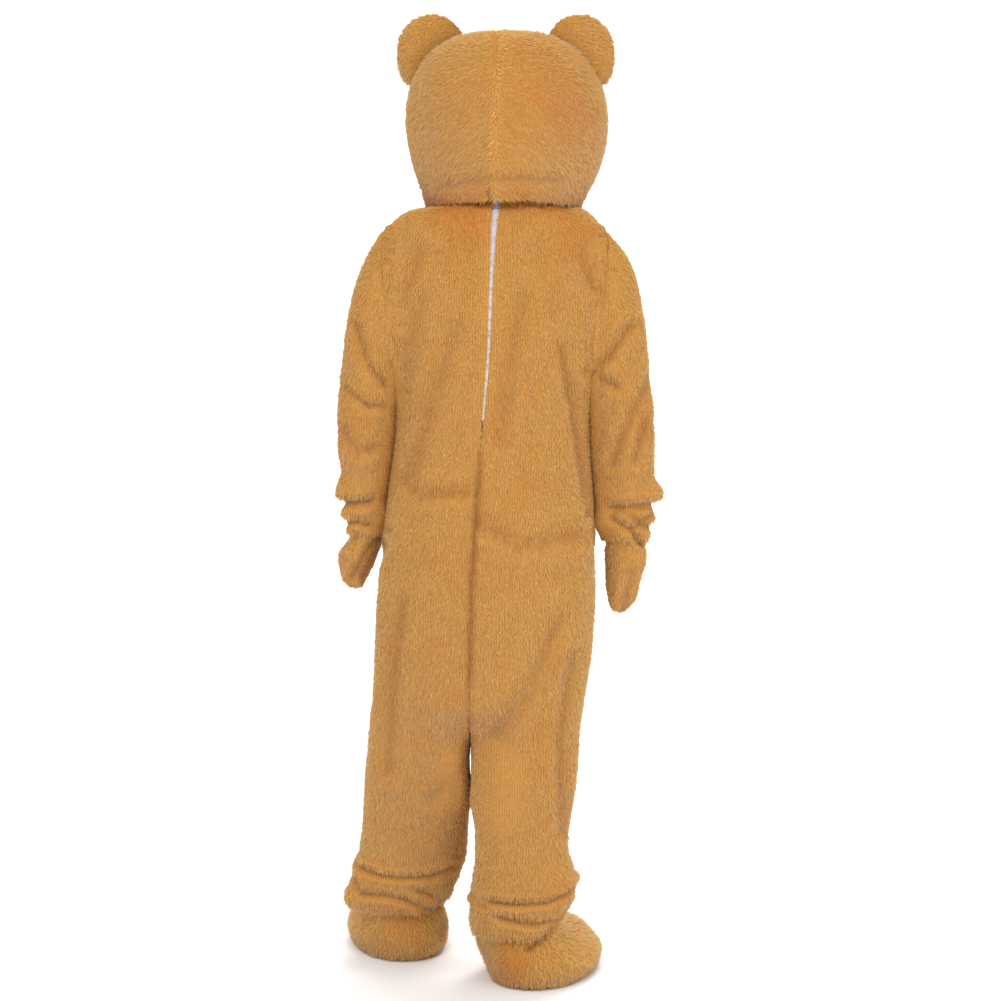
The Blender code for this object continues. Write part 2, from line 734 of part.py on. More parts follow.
def head_hem(angle):
    """The rim is lowest over the shoulders and rises at the back and the front."""
    return HEAD_HEM_SIDES + HEAD_HEM_ARCH * math.cos(angle) ** 2


def head_panel(name, first, last, columns, material):
    """A sector of the head between two seams, up to the crown."""
    outer, inner = [], []
    for level in (None,) + HEAD_ROWS:
        outer_row, inner_row = [], []
        height = HEAD_HEM_SIDES if level is None else level
        start, end = first(height), last(height)
        radius = HEAD_PROFILE.at(height).half_width
        gap = SEAM_GAP / 2 / radius
        start, end = start + gap, end - gap
        for j in range(columns + 1):
            angle = start + (end - start) * j / columns
            here = head_hem(angle) if level is None else level
            point = head_point(angle, here)
            toward = point - world(HEAD_PROFILE.at(here).centre_x, HEAD_MIDDLE_Y, 1580)
            normal = outward(head_point, angle, here, toward)
            under = point - normal * HEAD_WALL * MM
            if level is None:
                under[2] = point[2]
            outer_row.append(point)
            inner_row.append(under)
        outer.append(outer_row)
        inner.append(inner_row)
    middle = (first(HEAD_TOP) + last(HEAD_TOP)) / 2
    apart = SEAM_GAP * MM * np.array((math.sin(middle), math.cos(middle), 0.0))
    crown = world(HEAD_TOP_X, HEAD_MIDDLE_Y, HEAD_TOP) + apart
    outer.append([crown] * (columns + 1))
    inner.append([crown - np.array((0.0, 0.0, HEAD_WALL * MM))] * (columns + 1))
    return wall_object(name, outer, inner, material)


def head_surface_along(base, direction):
    """Slide a point along a direction until it lies just off the head's surface."""
    low, high = -160.0, 160.0
    for _ in range(40):
        middle = (low + high) / 2
        if outside_head(base + direction * middle * MM):
            high = middle
        else:
            low = middle
    return base + direction * (high + PAD_GAP) * MM


def outside_head(point):
    height = point[2] / MM + ORIGIN_HEIGHT
    if height >= HEAD_TOP:
        return True
    row = HEAD_PROFILE.at(height)
    share = 1.0
    if height > HEAD[-1].height:
        share = math.sqrt((HEAD_TOP - height) / (HEAD_TOP - HEAD[-1].height))
    x = (point[0] / MM - row.centre_x) / (row.half_width * share)
    y = point[1] / MM - HEAD_MIDDLE_Y
    depth = row.back_depth if y > 0 else row.front_depth
    return x * x + (y / (depth * share)) ** 2 > 1.0


def stuffed_pad(name, middle, reach_axis, long_axis, rings, material, foot=None):
    """A stuffed piece sewn to the head: rings of (distance, half length, half width)."""
    wide_axis = np.cross(reach_axis, long_axis)
    shape = bmesh.new()
    mesh = bpy.data.meshes.new(name)

    def ring_at(distance, half_long, half_wide, on_head):
        ring = []
        for step in range(PAD_SIDES):
            angle = 2 * math.pi * step / PAD_SIDES
            spot = middle + long_axis * half_long * math.cos(angle) * MM
            spot = spot + wide_axis * half_wide * math.sin(angle) * MM
            if on_head:
                ring.append(head_surface_along(spot, reach_axis))
            else:
                ring.append(spot + reach_axis * distance * MM)
        return [shape.verts.new(point) for point in ring]

    _, base_long, base_wide = rings[0]
    on_head = foot is None
    layers = []
    if on_head:
        for share in (0.25, 0.5, 0.75):
            layers.append(ring_at(0.0, base_long * share, base_wide * share, True))
    layers.append(ring_at(rings[0][0], base_long, base_wide, on_head))
    layers += [ring_at(*ring, False) for ring in rings[1:]]
    for lower, upper in zip(layers, layers[1:]):
        for j in range(PAD_SIDES):
            k = (j + 1) % PAD_SIDES
            shape.faces.new([lower[j], lower[k], upper[k], upper[j]])
    shape.faces.new(layers[0][::-1])
    shape.faces.new(layers[-1])
    return finish_shape(name, shape, mesh, material)


def ear(side, material):
    """A stuffed round ear standing on the head, widest a little above its seam."""
    x, height = EAR_CENTRE[side]
    tilt = math.radians(EAR_TILT) * side
    reach_axis = np.array((math.sin(tilt), 0.0, math.cos(tilt)))
    long_axis = np.array((math.cos(tilt), 0.0, -math.sin(tilt)))
    middle = world(x, HEAD_MIDDLE_Y + 2, height) - reach_axis * EAR_CHORD_BELOW * MM
    top = EAR_CHORD_BELOW + EAR_RADIUS
    rings = [(0.0, 68.0, 22.0)]
    for share in (0.36, 0.52, 0.68, 0.82, 0.92, 0.985):
        distance = top * share
        half_long = math.sqrt(EAR_RADIUS ** 2 - (distance - EAR_CHORD_BELOW) ** 2)
        half_wide = EAR_HALF_THICKNESS * math.sqrt(1 - share ** 3)
        rings.append((distance, half_long, half_wide))
    return stuffed_pad(f"ear_{SIDE_NAME[side]}", middle, reach_axis, long_axis, rings, material)


def face_pieces(plush, nose_material, eye_material):
    """A plain bear's muzzle, nose and eyes, sewn on the face."""
    forward = np.array((0.0, -1.0, 0.0))
    across = np.array((1.0, 0.0, 0.0))
    row = HEAD_PROFILE.at(MUZZLE_HEIGHT)
    base = world(row.centre_x, HEAD_MIDDLE_Y - row.front_depth, MUZZLE_HEIGHT)
    rings = [(0.0, MUZZLE_HALF_WIDTH, MUZZLE_HALF_HEIGHT)]
    for share in (0.42, 0.68, 0.86, 1.0):
        left = MUZZLE_TIP_SHARE + (1 - MUZZLE_TIP_SHARE) * math.sqrt(1 - share ** 2)
        rings.append((MUZZLE_REACH * share, MUZZLE_HALF_WIDTH * left, MUZZLE_HALF_HEIGHT * left))
    stuffed_pad("muzzle", base, forward, across, rings, plush)
    tip = base + forward * (MUZZLE_REACH + SEAM_GAP) * MM + np.array((0.0, 0.0, NOSE_RISE * MM))
    rings = [(0.0, NOSE_HALF_WIDTH * 0.8, NOSE_HALF_HEIGHT * 0.8)]
    for share in (0.3, 0.7, 1.0):
        left = math.sqrt(1 - (share * 0.86) ** 2)
        rings.append((NOSE_REACH * share, NOSE_HALF_WIDTH * left, NOSE_HALF_HEIGHT * left))
    stuffed_pad("nose", tip, forward, across, rings, nose_material, foot="flat")
    for side in (LEFT, RIGHT):
        angle = math.pi - side * math.radians(EYE_SPREAD)
        spot = head_point(angle, EYE_HEIGHT)
        outwards = unit(np.array((math.sin(angle), math.cos(angle), 0.12)))
        sideways = unit(np.cross(outwards, np.array((0.0, 0.0, 1.0))))
        rings = [(0.0, EYE_RADIUS, EYE_RADIUS)]
        for share in (0.45, 0.75, 1.0):
            left = math.sqrt(1 - (share * 0.9) ** 2)
            rings.append((EYE_REACH * share, EYE_RADIUS * left, EYE_RADIUS * left))
        stuffed_pad(f"eye_{SIDE_NAME[side]}", spot, outwards, sideways, rings, eye_material)


def zip_tape(side, material):
    """One white tape of the zip, a little below the plush between the back panels."""
    heights = [height for height in panel_heights() if height > ZIP_END]
    outer, inner = [], []
    for height in heights:
        outer_row, inner_row = [], []
        half = SLIT_PROFILE.at(height).half_width
        start = suit_point(side, BACK, 0.0, height)
        near = suit_point(side, BACK, 0.02, height)
        slope = np.linalg.norm(near - start) / (0.02 * MM)
        for wide in (SEAM_GAP / 2, half - SEAM_GAP):
            u = wide / slope
            point = suit_point(side, BACK, u, height)
            toward = point - axis_point(side, height)
            normal = outward(lambda a, b: suit_point(side, BACK, a, b), u, height, toward)
            outer_row.append(point - normal * TAPE_DEPTH * MM)
            inner_row.append(point - normal * (TAPE_DEPTH + TAPE_THICKNESS) * MM)
        outer.append(outer_row)
        inner.append(inner_row)
    return wall_object(f"zip_tape_{SIDE_NAME[side]}", outer, inner, material)


def zip_frame():
    """The slider's place on the zip: a point on the tapes, down the zip, and outwards."""
    high = suit_point(LEFT, BACK, 0.0, SLIDER_HEIGHT + SLIDER_LENGTH / 2)
    low = suit_point(LEFT, BACK, 0.0, SLIDER_HEIGHT + SLIDER_LENGTH / 2 - PULL_LENGTH)
    down = unit(low - high)
    down[0] = 0.0
    down = unit(down)
    outwards = np.array((0.0, -down[2], down[1]))
    top = suit_point(LEFT, BACK, 0.0, SLIDER_HEIGHT + SLIDER_LENGTH / 2)
    return top, down, outwards


def extruded(name, profile, start, along, length, across, up, material):
    """Extrude a flat outline of (across, up) sizes in millimetres along a direction."""
    shape = bmesh.new()
    mesh = bpy.data.meshes.new(name)
    points = [start + (across * x + up * y) * MM for x, y in profile]
    face = shape.faces.new([shape.verts.new(point) for point in points])
    grown = bmesh.ops.extrude_face_region(shape, geom=[face])
    moved = [item for item in grown["geom"] if isinstance(item, bmesh.types.BMVert)]
    bmesh.ops.translate(shape, verts=moved, vec=along * length * MM)
    return finish_shape(name, shape, mesh, material)


def zip_fittings(material):
    """The slider, an open channel on the tapes, and the pull tab in it."""
    top, down, outwards = zip_frame()
    across = np.array((1.0, 0.0, 0.0))
    half = SLIDER_WIDTH / 2
    slot = half - SLIDER_CHEEK
    floor = SLIDER_FLOOR
    rim = floor + SLIDER_CHEEK_REACH
    profile = [(-half, 0), (half, 0), (half, rim), (slot, rim), (slot, floor),
               (-slot, floor), (-slot, rim), (-half, rim)]
    seat = top + outwards * SLIDER_SEAT * MM
    extruded("zip_slider", profile, seat, down, SLIDER_LENGTH, across, outwards, material)
    wide = slot - SEAM_GAP
    back_face = floor + PULL_CLEARANCE
    tab = [(-wide, back_face), (wide, back_face), (wide, back_face + PULL_THICKNESS),
           (-wide, back_face + PULL_THICKNESS)]
    first = seat + down * PULL_START * MM
    extruded("zip_pull", tab, first, down, PULL_LENGTH, across, outwards, material)


def main():
    for existing in list(bpy.data.objects):
        bpy.data.objects.remove(existing, do_unlink=True)
    plush = surface_material("ginger_plush", (0.58, 0.29, 0.09), 0.95)
    dark_plush = surface_material("muzzle_plush", (0.72, 0.48, 0.24), 0.95)
    sole_cloth = surface_material("sole_cloth", (0.16, 0.1, 0.055), 0.9)
    nose_cloth = surface_material("nose_vinyl", (0.02, 0.015, 0.012), 0.35)
    eye_plastic = surface_material("eye_plastic", (0.01, 0.008, 0.006), 0.12)
    tape_cloth = surface_material("zip_polyester", (0.75, 0.73, 0.78), 0.8)
    zip_metal = surface_material("zip_metal", (0.6, 0.6, 0.6), 0.35, 1.0)
    for side in (LEFT, RIGHT):
        for face in (BACK, FRONT):
            suit_panel(side, face, plush)
        sleeve(side, plush)
        mitten(side, plush)
        shoe(side, plush, sole_cloth)
        ear(side, plush)
        zip_tape(side, tape_cloth)
    turn = math.radians(HEAD_SIDE_SEAM)
    head_panel("head_back_left", head_seam, lambda height: turn, HEAD_BACK_COLUMNS, plush)
    head_panel("head_back_right", lambda height: -turn, head_seam, HEAD_BACK_COLUMNS, plush)
    head_panel("head_face", lambda height: turn, lambda height: 2 * math.pi - turn,
               HEAD_FACE_COLUMNS, plush)
    face_pieces(dark_plush, nose_cloth, eye_plastic)
    zip_fittings(zip_metal)


main()
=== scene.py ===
import math

import bmesh
import bpy
import numpy as np
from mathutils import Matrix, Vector
from mathutils.bvhtree import BVHTree
from mathutils.kdtree import KDTree


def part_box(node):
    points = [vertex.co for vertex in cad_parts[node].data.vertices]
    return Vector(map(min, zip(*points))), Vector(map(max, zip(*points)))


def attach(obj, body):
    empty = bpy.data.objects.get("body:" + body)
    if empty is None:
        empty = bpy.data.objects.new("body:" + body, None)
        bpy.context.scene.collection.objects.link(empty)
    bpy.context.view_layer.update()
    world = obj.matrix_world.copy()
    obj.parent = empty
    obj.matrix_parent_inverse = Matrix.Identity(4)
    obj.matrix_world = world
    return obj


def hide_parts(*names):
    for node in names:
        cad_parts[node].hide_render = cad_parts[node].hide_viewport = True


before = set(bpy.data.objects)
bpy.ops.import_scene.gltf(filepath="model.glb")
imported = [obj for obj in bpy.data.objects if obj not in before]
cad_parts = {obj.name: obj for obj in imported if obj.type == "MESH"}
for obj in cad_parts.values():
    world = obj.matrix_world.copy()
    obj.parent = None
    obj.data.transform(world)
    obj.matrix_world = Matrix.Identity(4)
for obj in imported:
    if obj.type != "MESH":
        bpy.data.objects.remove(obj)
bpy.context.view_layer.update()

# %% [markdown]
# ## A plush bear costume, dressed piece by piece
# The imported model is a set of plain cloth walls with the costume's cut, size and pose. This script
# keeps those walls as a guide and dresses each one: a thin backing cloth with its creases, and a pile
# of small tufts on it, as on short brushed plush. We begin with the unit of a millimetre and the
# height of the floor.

MM = 0.001
FLOOR = -1.4

# %% [markdown]
# ## Colours and nodes
# Colours are written as people pick them on a screen, as sRGB hex values. Shaders want linear light,
# so one function converts them. A second one adds a shader node with its settings and its links,
# which keeps each material short enough to read. Three more do what nearly every material needs: a
# texture of a known size, a colour that runs between two tones, and a relief.


# %% Helpers for colours and nodes
WAVE_TURN = 6.28    # a wave texture counts in turns of a circle


def linear(code):
    """A screen colour such as #CB9251 as linear light with an alpha of 1."""
    channels = [int(code[start:start + 2], 16) / 255 for start in (1, 3, 5)]
    return [c / 12.92 if c <= 0.04045 else ((c + 0.055) / 1.055) ** 2.4 for c in channels] + [1.0]


def add_node(tree, kind, links=(), **settings):
    """A new node. settings are attributes or input values, and links are (input, output) pairs."""
    node = tree.nodes.new(kind)
    for name, value in settings.items():
        if hasattr(node, name):
            setattr(node, name, value)
        else:
            node.inputs[name.replace("_", " ")].default_value = value
    for socket, source in links:
        tree.links.new(source, node.inputs[socket])
    return node


def new_material(name, **settings):
    """A material and its Principled shader, with the even values set on the shader itself."""
    material = bpy.data.materials.new(name)
    material.use_nodes = True
    shader = material.node_tree.nodes["Principled BSDF"]
    for socket, value in settings.items():
        shader.inputs[socket.replace("_", " ")].default_value = value
    return material, material.node_tree, shader


def texture(tree, kind, cell, **settings):
    """A texture in the object's own space, with cells or waves of so many millimetres."""
    place = add_node(tree, "ShaderNodeTexCoord")
    turns = WAVE_TURN if kind == "Wave" else 1
    return add_node(tree, "ShaderNodeTex" + kind, [("Vector", place.outputs["Object"])],
                    Scale=1 / (cell * MM) / turns, **settings)


def tinted(tree, shader, factor, one, other):
    """Lets the shader's colour run from one colour to another with a texture's value."""
    tone = add_node(tree, "ShaderNodeMix", [(0, factor)], data_type="RGBA")
    tone.inputs[6].default_value = one
    tone.inputs[7].default_value = other
    tree.links.new(tone.outputs[2], shader.inputs["Base Color"])


def embossed(tree, shader, height, strength, depth, **settings):
    """Lets a texture stand out of the surface by so many millimetres, as a bump."""
    relief = add_node(tree, "ShaderNodeBump", [("Height", height)], Strength=strength,
                      Distance=depth * MM, **settings)
    tree.links.new(relief.outputs["Normal"], shader.inputs["Normal"])


print("middle grey in linear light:", round(linear("#808080")[0], 3))

# %% [markdown]
# ## Plush fibre
# The costume's plush is polyester fibre, dyed ginger and brushed. The tips catch the light and look
# pale, while the roots sit in shade and look a deep orange brown. So each tuft's colour runs from
# root to tip. Each tuft also has its own tone, and broad soft clouds show where a hand has brushed the
# pile the other way. Where the pile stands open, more of the deep colour shows: that is the "warmth"
# value, which each surface carries as an attribute. Under the head's hem the warmth value also carries
# painted shade. A second value paints shade into creases, seams and the left palm, darker and warmer,
# and a painted highlight along the head's seam.

# %% Plush fibre
PLUSH_TIP, PLUSH_MIDDLE, PLUSH_ROOT = "#EFC774", "#E6B256", "#CC8D42"
# The warm colour is the deep colour of open pile. The painted shade of creases, seams and the hem's shadow
# mixes it in too.
PLUSH_WARM = "#E08C30"
MUZZLE_TIP, MUZZLE_MIDDLE, MUZZLE_ROOT = "#EBCB9C", "#D9AE74", "#A06F3A"
MIDDLE_AT = 0.45                   # where along a tuft its middle colour lies
CLOUD_SIZE = 55                    # millimetres
WARM_FROM, WARM_TO = 0.45, 1.5     # the warmth where the deep colour begins, and where it is full
TONE_LOW, TONE_HIGH = 0.9, 1.1     # each tuft's own brightness
PALEST, DARKEST = -0.4, 1.0        # the range of the painted shade value, where below 0 is a painted highlight,
BRIGHT, DIM = 1.2, 0.5             # and the brightness at its two ends


def plush_fibre(name, tip, middle, root, warm):
    """Brushed polyester pile. Fine fibres scatter light, so it is rough with a soft sheen."""
    material, tree, shader = new_material(name, Roughness=0.85, Specular_IOR_Level=0.2,
                                          Sheen_Weight=0.35, Sheen_Roughness=0.5)
    along = add_node(tree, "ShaderNodeAttribute", attribute_name="tip")
    tone = add_node(tree, "ShaderNodeAttribute", attribute_name="tone")
    warmth = add_node(tree, "ShaderNodeAttribute", attribute_name="warmth")
    ramp = add_node(tree, "ShaderNodeValToRGB", [(0, along.outputs["Fac"])])
    ramp.color_ramp.elements[0].color = linear(root)
    ramp.color_ramp.elements[1].color = linear(tip)
    ramp.color_ramp.elements.new(MIDDLE_AT).color = linear(middle)
    cloud = texture(tree, "Noise", CLOUD_SIZE, Detail=2.0)
    # Open pile, brushed clouds and the painted shade under the head's hem warm the colour.
    brushed_and_hem_shade = add_node(tree, "ShaderNodeMath", [(0, warmth.outputs["Fac"]), (1, cloud.outputs["Fac"])],
                         operation="ADD")
    # Painted shade of creases, seams and the palm warms the colour here and darkens it in the shade node
    # below. Below 0 it is a painted highlight on the head's seam.
    painted_shade = add_node(tree, "ShaderNodeAttribute", attribute_name="painted_shade")
    brushed_and_painted_shade = add_node(tree, "ShaderNodeMath", [(0, brushed_and_hem_shade.outputs[0]), (1, painted_shade.outputs["Fac"])],
                         operation="ADD")
    share = add_node(tree, "ShaderNodeMapRange", [("Value", brushed_and_painted_shade.outputs[0])],
                     From_Min=WARM_FROM, From_Max=WARM_TO)
    warmed = add_node(tree, "ShaderNodeMix", [(0, share.outputs["Result"]), (6, ramp.outputs["Color"])],
                      data_type="RGBA")
    warmed.inputs[7].default_value = linear(warm)
    light = add_node(tree, "ShaderNodeMapRange", [("Value", tone.outputs["Fac"])],
                     To_Min=TONE_LOW, To_Max=TONE_HIGH)
    shade = add_node(tree, "ShaderNodeMapRange", [("Value", painted_shade.outputs["Fac"])],
                     From_Min=PALEST, From_Max=DARKEST, To_Min=BRIGHT, To_Max=DIM)
    shaded = add_node(tree, "ShaderNodeMath", [(0, light.outputs["Result"]), (1, shade.outputs["Result"])],
                      operation="MULTIPLY")
    toned = add_node(tree, "ShaderNodeHueSaturation",
                     [("Color", warmed.outputs[2]), ("Value", shaded.outputs[0])])
    tree.links.new(toned.outputs["Color"], shader.inputs["Base Color"])
    return material


ginger_plush = plush_fibre("ginger_plush_brushed_polyester", PLUSH_TIP, PLUSH_MIDDLE, PLUSH_ROOT,
                           PLUSH_WARM)
muzzle_plush = plush_fibre("cream_plush_brushed_polyester", MUZZLE_TIP, MUZZLE_MIDDLE, MUZZLE_ROOT,
                           MUZZLE_MIDDLE)
print("plush:", ginger_plush.name, "and", muzzle_plush.name)

# %% [markdown]
# ## Knit backing
# The fibre is hooked into a knitted ground. It only shows where the pile parts, as a matt, darker tone,
# and inside the hollows, where its fine ribs tell the eye that this is cloth.

# %% Knit backing
BACKING = "#C08A46"
LOOP_SIZE = 2.4
BETWEEN_LOOPS = 0.7    # painted shade between the loops: how bright the cloth is there


def knit_backing(name, colour):
    """The knitted ground that the pile is hooked into: matt, with a fine rib of loops."""
    material, tree, shader = new_material(name, Roughness=0.95, Specular_IOR_Level=0.15)
    loops = texture(tree, "Wave", LOOP_SIZE, Distortion=1.5, Detail=2.0)
    # The colour between the loops is painted shade, darker by that share.
    deep = [value * BETWEEN_LOOPS for value in linear(colour)[:3]] + [1.0]
    tinted(tree, shader, loops.outputs["Fac"], linear(colour), deep)
    embossed(tree, shader, loops.outputs["Fac"], 0.4, 0.4)
    return material


ginger_backing = knit_backing("ginger_knit_backing", BACKING)
muzzle_backing = knit_backing("cream_knit_backing", MUZZLE_MIDDLE)
print("backing:", ginger_backing.name, "and", muzzle_backing.name)

# %% [markdown]
# ## The outer face of a cloth wall
# Each guide wall is a closed body: an outer face, an inner face and a narrow rim. The backing cloth
# needs the outer face alone. We walk from triangle to neighbouring triangle and stop at sharp edges,
# which are the rims, so the walk splits the wall into sheets. The outer one is always the largest.

# %% Take the outer face of a guide wall
RIM_ANGLE = math.radians(45)
CORNER_ANGLE = math.radians(16)
FLAT_ANGLE, QUAD_ANGLE = math.radians(40), math.radians(60)
MERGE = 0.0001


def sheet_from(start, seen):
    """All faces reached from one face without crossing a sharp edge."""
    sheet, stack = [], [start]
    seen.add(start)
    while stack:
        face = stack.pop()
        sheet.append(face)
        for edge in face.edges:
            if len(edge.link_faces) == 2 and edge.calc_face_angle(0) < RIM_ANGLE:
                for other in edge.link_faces:
                    if other not in seen:
                        seen.add(other)
                        stack.append(other)
    return sheet


def keep_corners(shape):
    """Marks the corners of the cut edge, so that smoothing doesn't round them off."""
    sharp = shape.verts.layers.float.new("crease_vert")
    for vertex in shape.verts:
        cut = [edge for edge in vertex.link_edges if edge.is_boundary]
        if len(cut) == 2:
            one, other = (edge.other_vert(vertex).co - vertex.co for edge in cut)
            if one.angle(-other, 0) > CORNER_ANGLE:
                vertex[sharp] = 1.0


def outer_face(node, whole=False):
    """A bmesh of a guide wall's outer face, or of the whole closed body."""
    shape = bmesh.new()
    shape.from_mesh(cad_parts[node].data)
    bmesh.ops.remove_doubles(shape, verts=shape.verts, dist=MERGE)
    if not whole:
        seen, sheets = set(), []
        for face in shape.faces:
            if face not in seen:
                sheets.append(sheet_from(face, seen))
        largest = max(sheets, key=lambda sheet: sum(face.calc_area() for face in sheet))
        keep = set(largest)
        bmesh.ops.delete(shape, geom=[face for face in shape.faces if face not in keep],
                         context="FACES")
    bmesh.ops.join_triangles(shape, faces=shape.faces, cmp_seam=False, cmp_sharp=False,
                             angle_face_threshold=FLAT_ANGLE, angle_shape_threshold=QUAD_ANGLE)
    keep_corners(shape)
    return shape


def placed(name, shape, *materials):
    """A bmesh as an object at the origin, smooth, with its materials."""
    mesh = bpy.data.meshes.new(name)
    shape.to_mesh(mesh)
    shape.free()
    for material in materials:
        mesh.materials.append(material)
    mesh.shade_smooth()
    piece = bpy.data.objects.new(name, mesh)
    bpy.context.scene.collection.objects.link(piece)
    return piece


def smoothed(piece, levels):
    """Subdivides a piece and keeps the result as its mesh."""
    divide = piece.modifiers.new("smooth", "SUBSURF")
    divide.levels = divide.render_levels = levels
    divide.boundary_smooth = "PRESERVE_CORNERS"
    bpy.context.view_layer.update()
    finished = piece.evaluated_get(bpy.context.evaluated_depsgraph_get())
    mesh = bpy.data.meshes.new_from_object(finished)
    piece.modifiers.clear()
    piece.data = mesh
    return mesh


trial = outer_face("back_left")
print("the outer face of back_left has", len(trial.faces), "faces")
trial.free()

# %% [markdown]
# ## Creases
# Worn plush folds where an arm hangs, where a seam pulls and where a long leg stacks up on the shoe.
# Each crease is a line on the figure as seen from behind or from the front: its points are
# millimetres across (X) and above the floor. The cloth sinks along the line and swells softly beside
# it, and its bottom gets painted shade. Depths and widths are uneven, as they are on the real thing.

# %% The creases, by view
BACK, FRONT = 1, -1
CREASES = [
    # name, view, depth, width, points (across, height)
    ("back drape beside the left shoulder blade", BACK, 5, 24, [(148, 1254), (172, 1147), (184, 1039)]),
    ("back drape towards the waist", BACK, 6, 22, [(82, 1201), (127, 1075), (163, 949)]),
    ("back drape right of the zip", BACK, 4, 20, [(-39, 1254), (-13, 1111), (1, 1003)]),
    ("back drape under the right arm", BACK, 5, 12, [(-111, 1174), (-134, 1054), (-159, 895)]),
    ("left shoulder pull", BACK, 4, 16, [(145, 1344), (181, 1254)]),
    ("right shoulder pull", BACK, 4, 16, [(-152, 1335), (-179, 1254)]),
    ("left seat fold", BACK, 6, 16, [(208, 949), (145, 904), (62, 910)]),
    ("right seat fold", BACK, 5, 20, [(37, 859), (-35, 814), (-143, 832)]),
    ("left thigh fold", BACK, 7, 14, [(55, 450), (82, 386), (127, 327)]),
    ("right thigh fold", BACK, 6, 20, [(-107, 678), (-53, 550), (28, 444)]),
    ("left outer leg fold", BACK, 5, 18, [(181, 714), (202, 550), (209, 386)]),
    ("right shin fold", BACK, 5, 14, [(-134, 614), (-111, 459), (-118, 285)]),
    ("left sleeve fold above the elbow", BACK, 8, 11, [(268, 1214), (246, 1144), (199, 1095)]),
    ("left elbow fold", BACK, 8, 10, [(286, 1099), (246, 1064), (188, 1062)]),
    ("left forearm fold", BACK, 5, 14, [(292, 1018), (261, 978), (211, 989)]),
    ("right underarm fold", BACK, 9, 12, [(-241, 1210), (-197, 1152), (-162, 1126)]),
    ("right underarm nick", BACK, 7, 9, [(-211, 1099), (-175, 1117)]),
    ("right sleeve fold", BACK, 6, 13, [(-277, 1121), (-233, 1027), (-202, 958)]),
    ("right forearm fold", BACK, 5, 12, [(-266, 1037), (-248, 963)]),
    ("left wrist gather", BACK, 13, 9, [(303, 884), (266, 884), (230, 888), (199, 906)]),
    ("left wrist, second gather", BACK, 9, 8, [(300, 846), (262, 850), (238, 842), (205, 838)]),
    ("right wrist gather", BACK, 13, 9, [(-160, 872), (-219, 875), (-274, 880), (-300, 880)]),
    ("right wrist, second gather", BACK, 10, 8, [(-205, 858), (-232, 840), (-262, 843), (-296, 840)]),
    ("right wrist, nick", BACK, 8, 7, [(-238, 862), (-258, 853), (-276, 862)]),
    ("right wrist, lower nick", BACK, 8, 7, [(-240, 834), (-252, 818), (-262, 808)]),
    # The left palm rows also paint the palm in shade, where it faces the thigh, away from the light.
    ("left palm fold", BACK, 7, 8, [(227, 826), (250, 786), (276, 744)]),
    ("left palm hollow", BACK, 9, 12, [(216, 812), (232, 786), (252, 748)]),
    ("left palm, inner hollow", BACK, 7, 10, [(238, 806), (258, 772), (274, 742)]),
    ("right mitten fold", BACK, 4, 11, [(-245, 756), (-236, 715), (-226, 676)]),
    ("left ankle, first roll", BACK, 12, 7, [(267, 185), (232, 176), (186, 172), (130, 174), (90, 189)]),
    ("left ankle, second roll", BACK, 8, 8, [(278, 161), (264, 136), (223, 138), (177, 126), (127, 103)]),
    ("left ankle, short nick", BACK, 6, 7, [(158, 149), (130, 134)]),
    ("left shoe, inner side in shade", BACK, 6, 13, [(112, 118), (105, 85), (112, 45)]),
    ("right ankle, first roll", BACK, 12, 7, [(24, 164), (-35, 162), (-89, 164), (-140, 181)]),
    ("right ankle, second roll", BACK, 11, 8, [(1, 138), (-53, 125), (-107, 129), (-136, 151)]),
    ("right ankle, short nick", BACK, 7, 8, [(-50, 79), (-89, 107), (-111, 125)]),
    ("right ankle, side nick", BACK, 6, 7, [(55, 166), (30, 151)]),
    ("crease across the back of the head", BACK, 4, 9, [(108, 1462), (19, 1470), (-106, 1470)]),
    ("notch in the head's hem", BACK, 7, 6, [(19, 1432), (20, 1448)]),
    ("chest drape on the left", FRONT, 5, 22, [(120, 1290), (150, 1180), (166, 1060)]),
    ("chest drape on the right", FRONT, 5, 22, [(-96, 1270), (-128, 1150), (-150, 1010)]),
    ("belly drape", FRONT, 5, 26, [(-60, 1010), (20, 930), (130, 905)]),
    ("left groin fold", FRONT, 7, 16, [(52, 590), (96, 668), (186, 704)]),
    ("right groin fold", FRONT, 5, 20, [(-6, 610), (-58, 640), (-150, 648)]),
    ("left knee fold", FRONT, 6, 16, [(215, 470), (150, 430), (95, 440)]),
    ("right knee fold", FRONT, 6, 16, [(-120, 500), (-60, 455), (5, 462)]),
    ("left sleeve front fold", FRONT, 7, 11, [(262, 1180), (232, 1110), (196, 1082)]),
    ("left elbow front fold", FRONT, 7, 10, [(288, 1040), (250, 1015), (214, 1020)]),
    ("right sleeve front fold", FRONT, 7, 11, [(-250, 1170), (-214, 1110), (-176, 1090)]),
    ("right elbow front fold", FRONT, 7, 10, [(-276, 1030), (-240, 1000), (-205, 1012)]),
    ("left wrist front gather", FRONT, 8, 8, [(294, 888), (255, 880), (212, 890)]),
    ("right wrist front gather", FRONT, 8, 8, [(-178, 876), (-226, 870), (-282, 880)]),
    ("left ankle, first front roll", FRONT, 8, 8, [(266, 206), (200, 192), (128, 198), (84, 212)]),
    ("left ankle, second front roll", FRONT, 7, 8, [(262, 168), (190, 158), (110, 166)]),
    ("right ankle, first front roll", FRONT, 8, 8, [(30, 196), (-34, 184), (-104, 190), (-138, 204)]),
    ("right ankle, second front roll", FRONT, 7, 8, [(20, 160), (-50, 150), (-118, 160)]),
]
SWELL = 0.35           # a crease pushes its sides up by this share of its depth,
SWELL_AT = 1.7         # this many widths away from its line,
SWELL_SPREAD = 0.8     # over this many widths
SHADE_NARROWS = 1.6    # the shaded bottom of a crease is this much narrower than the crease
FULL_SHADE_DEPTH = 10
FULL_SHADE_WIDTH = 6
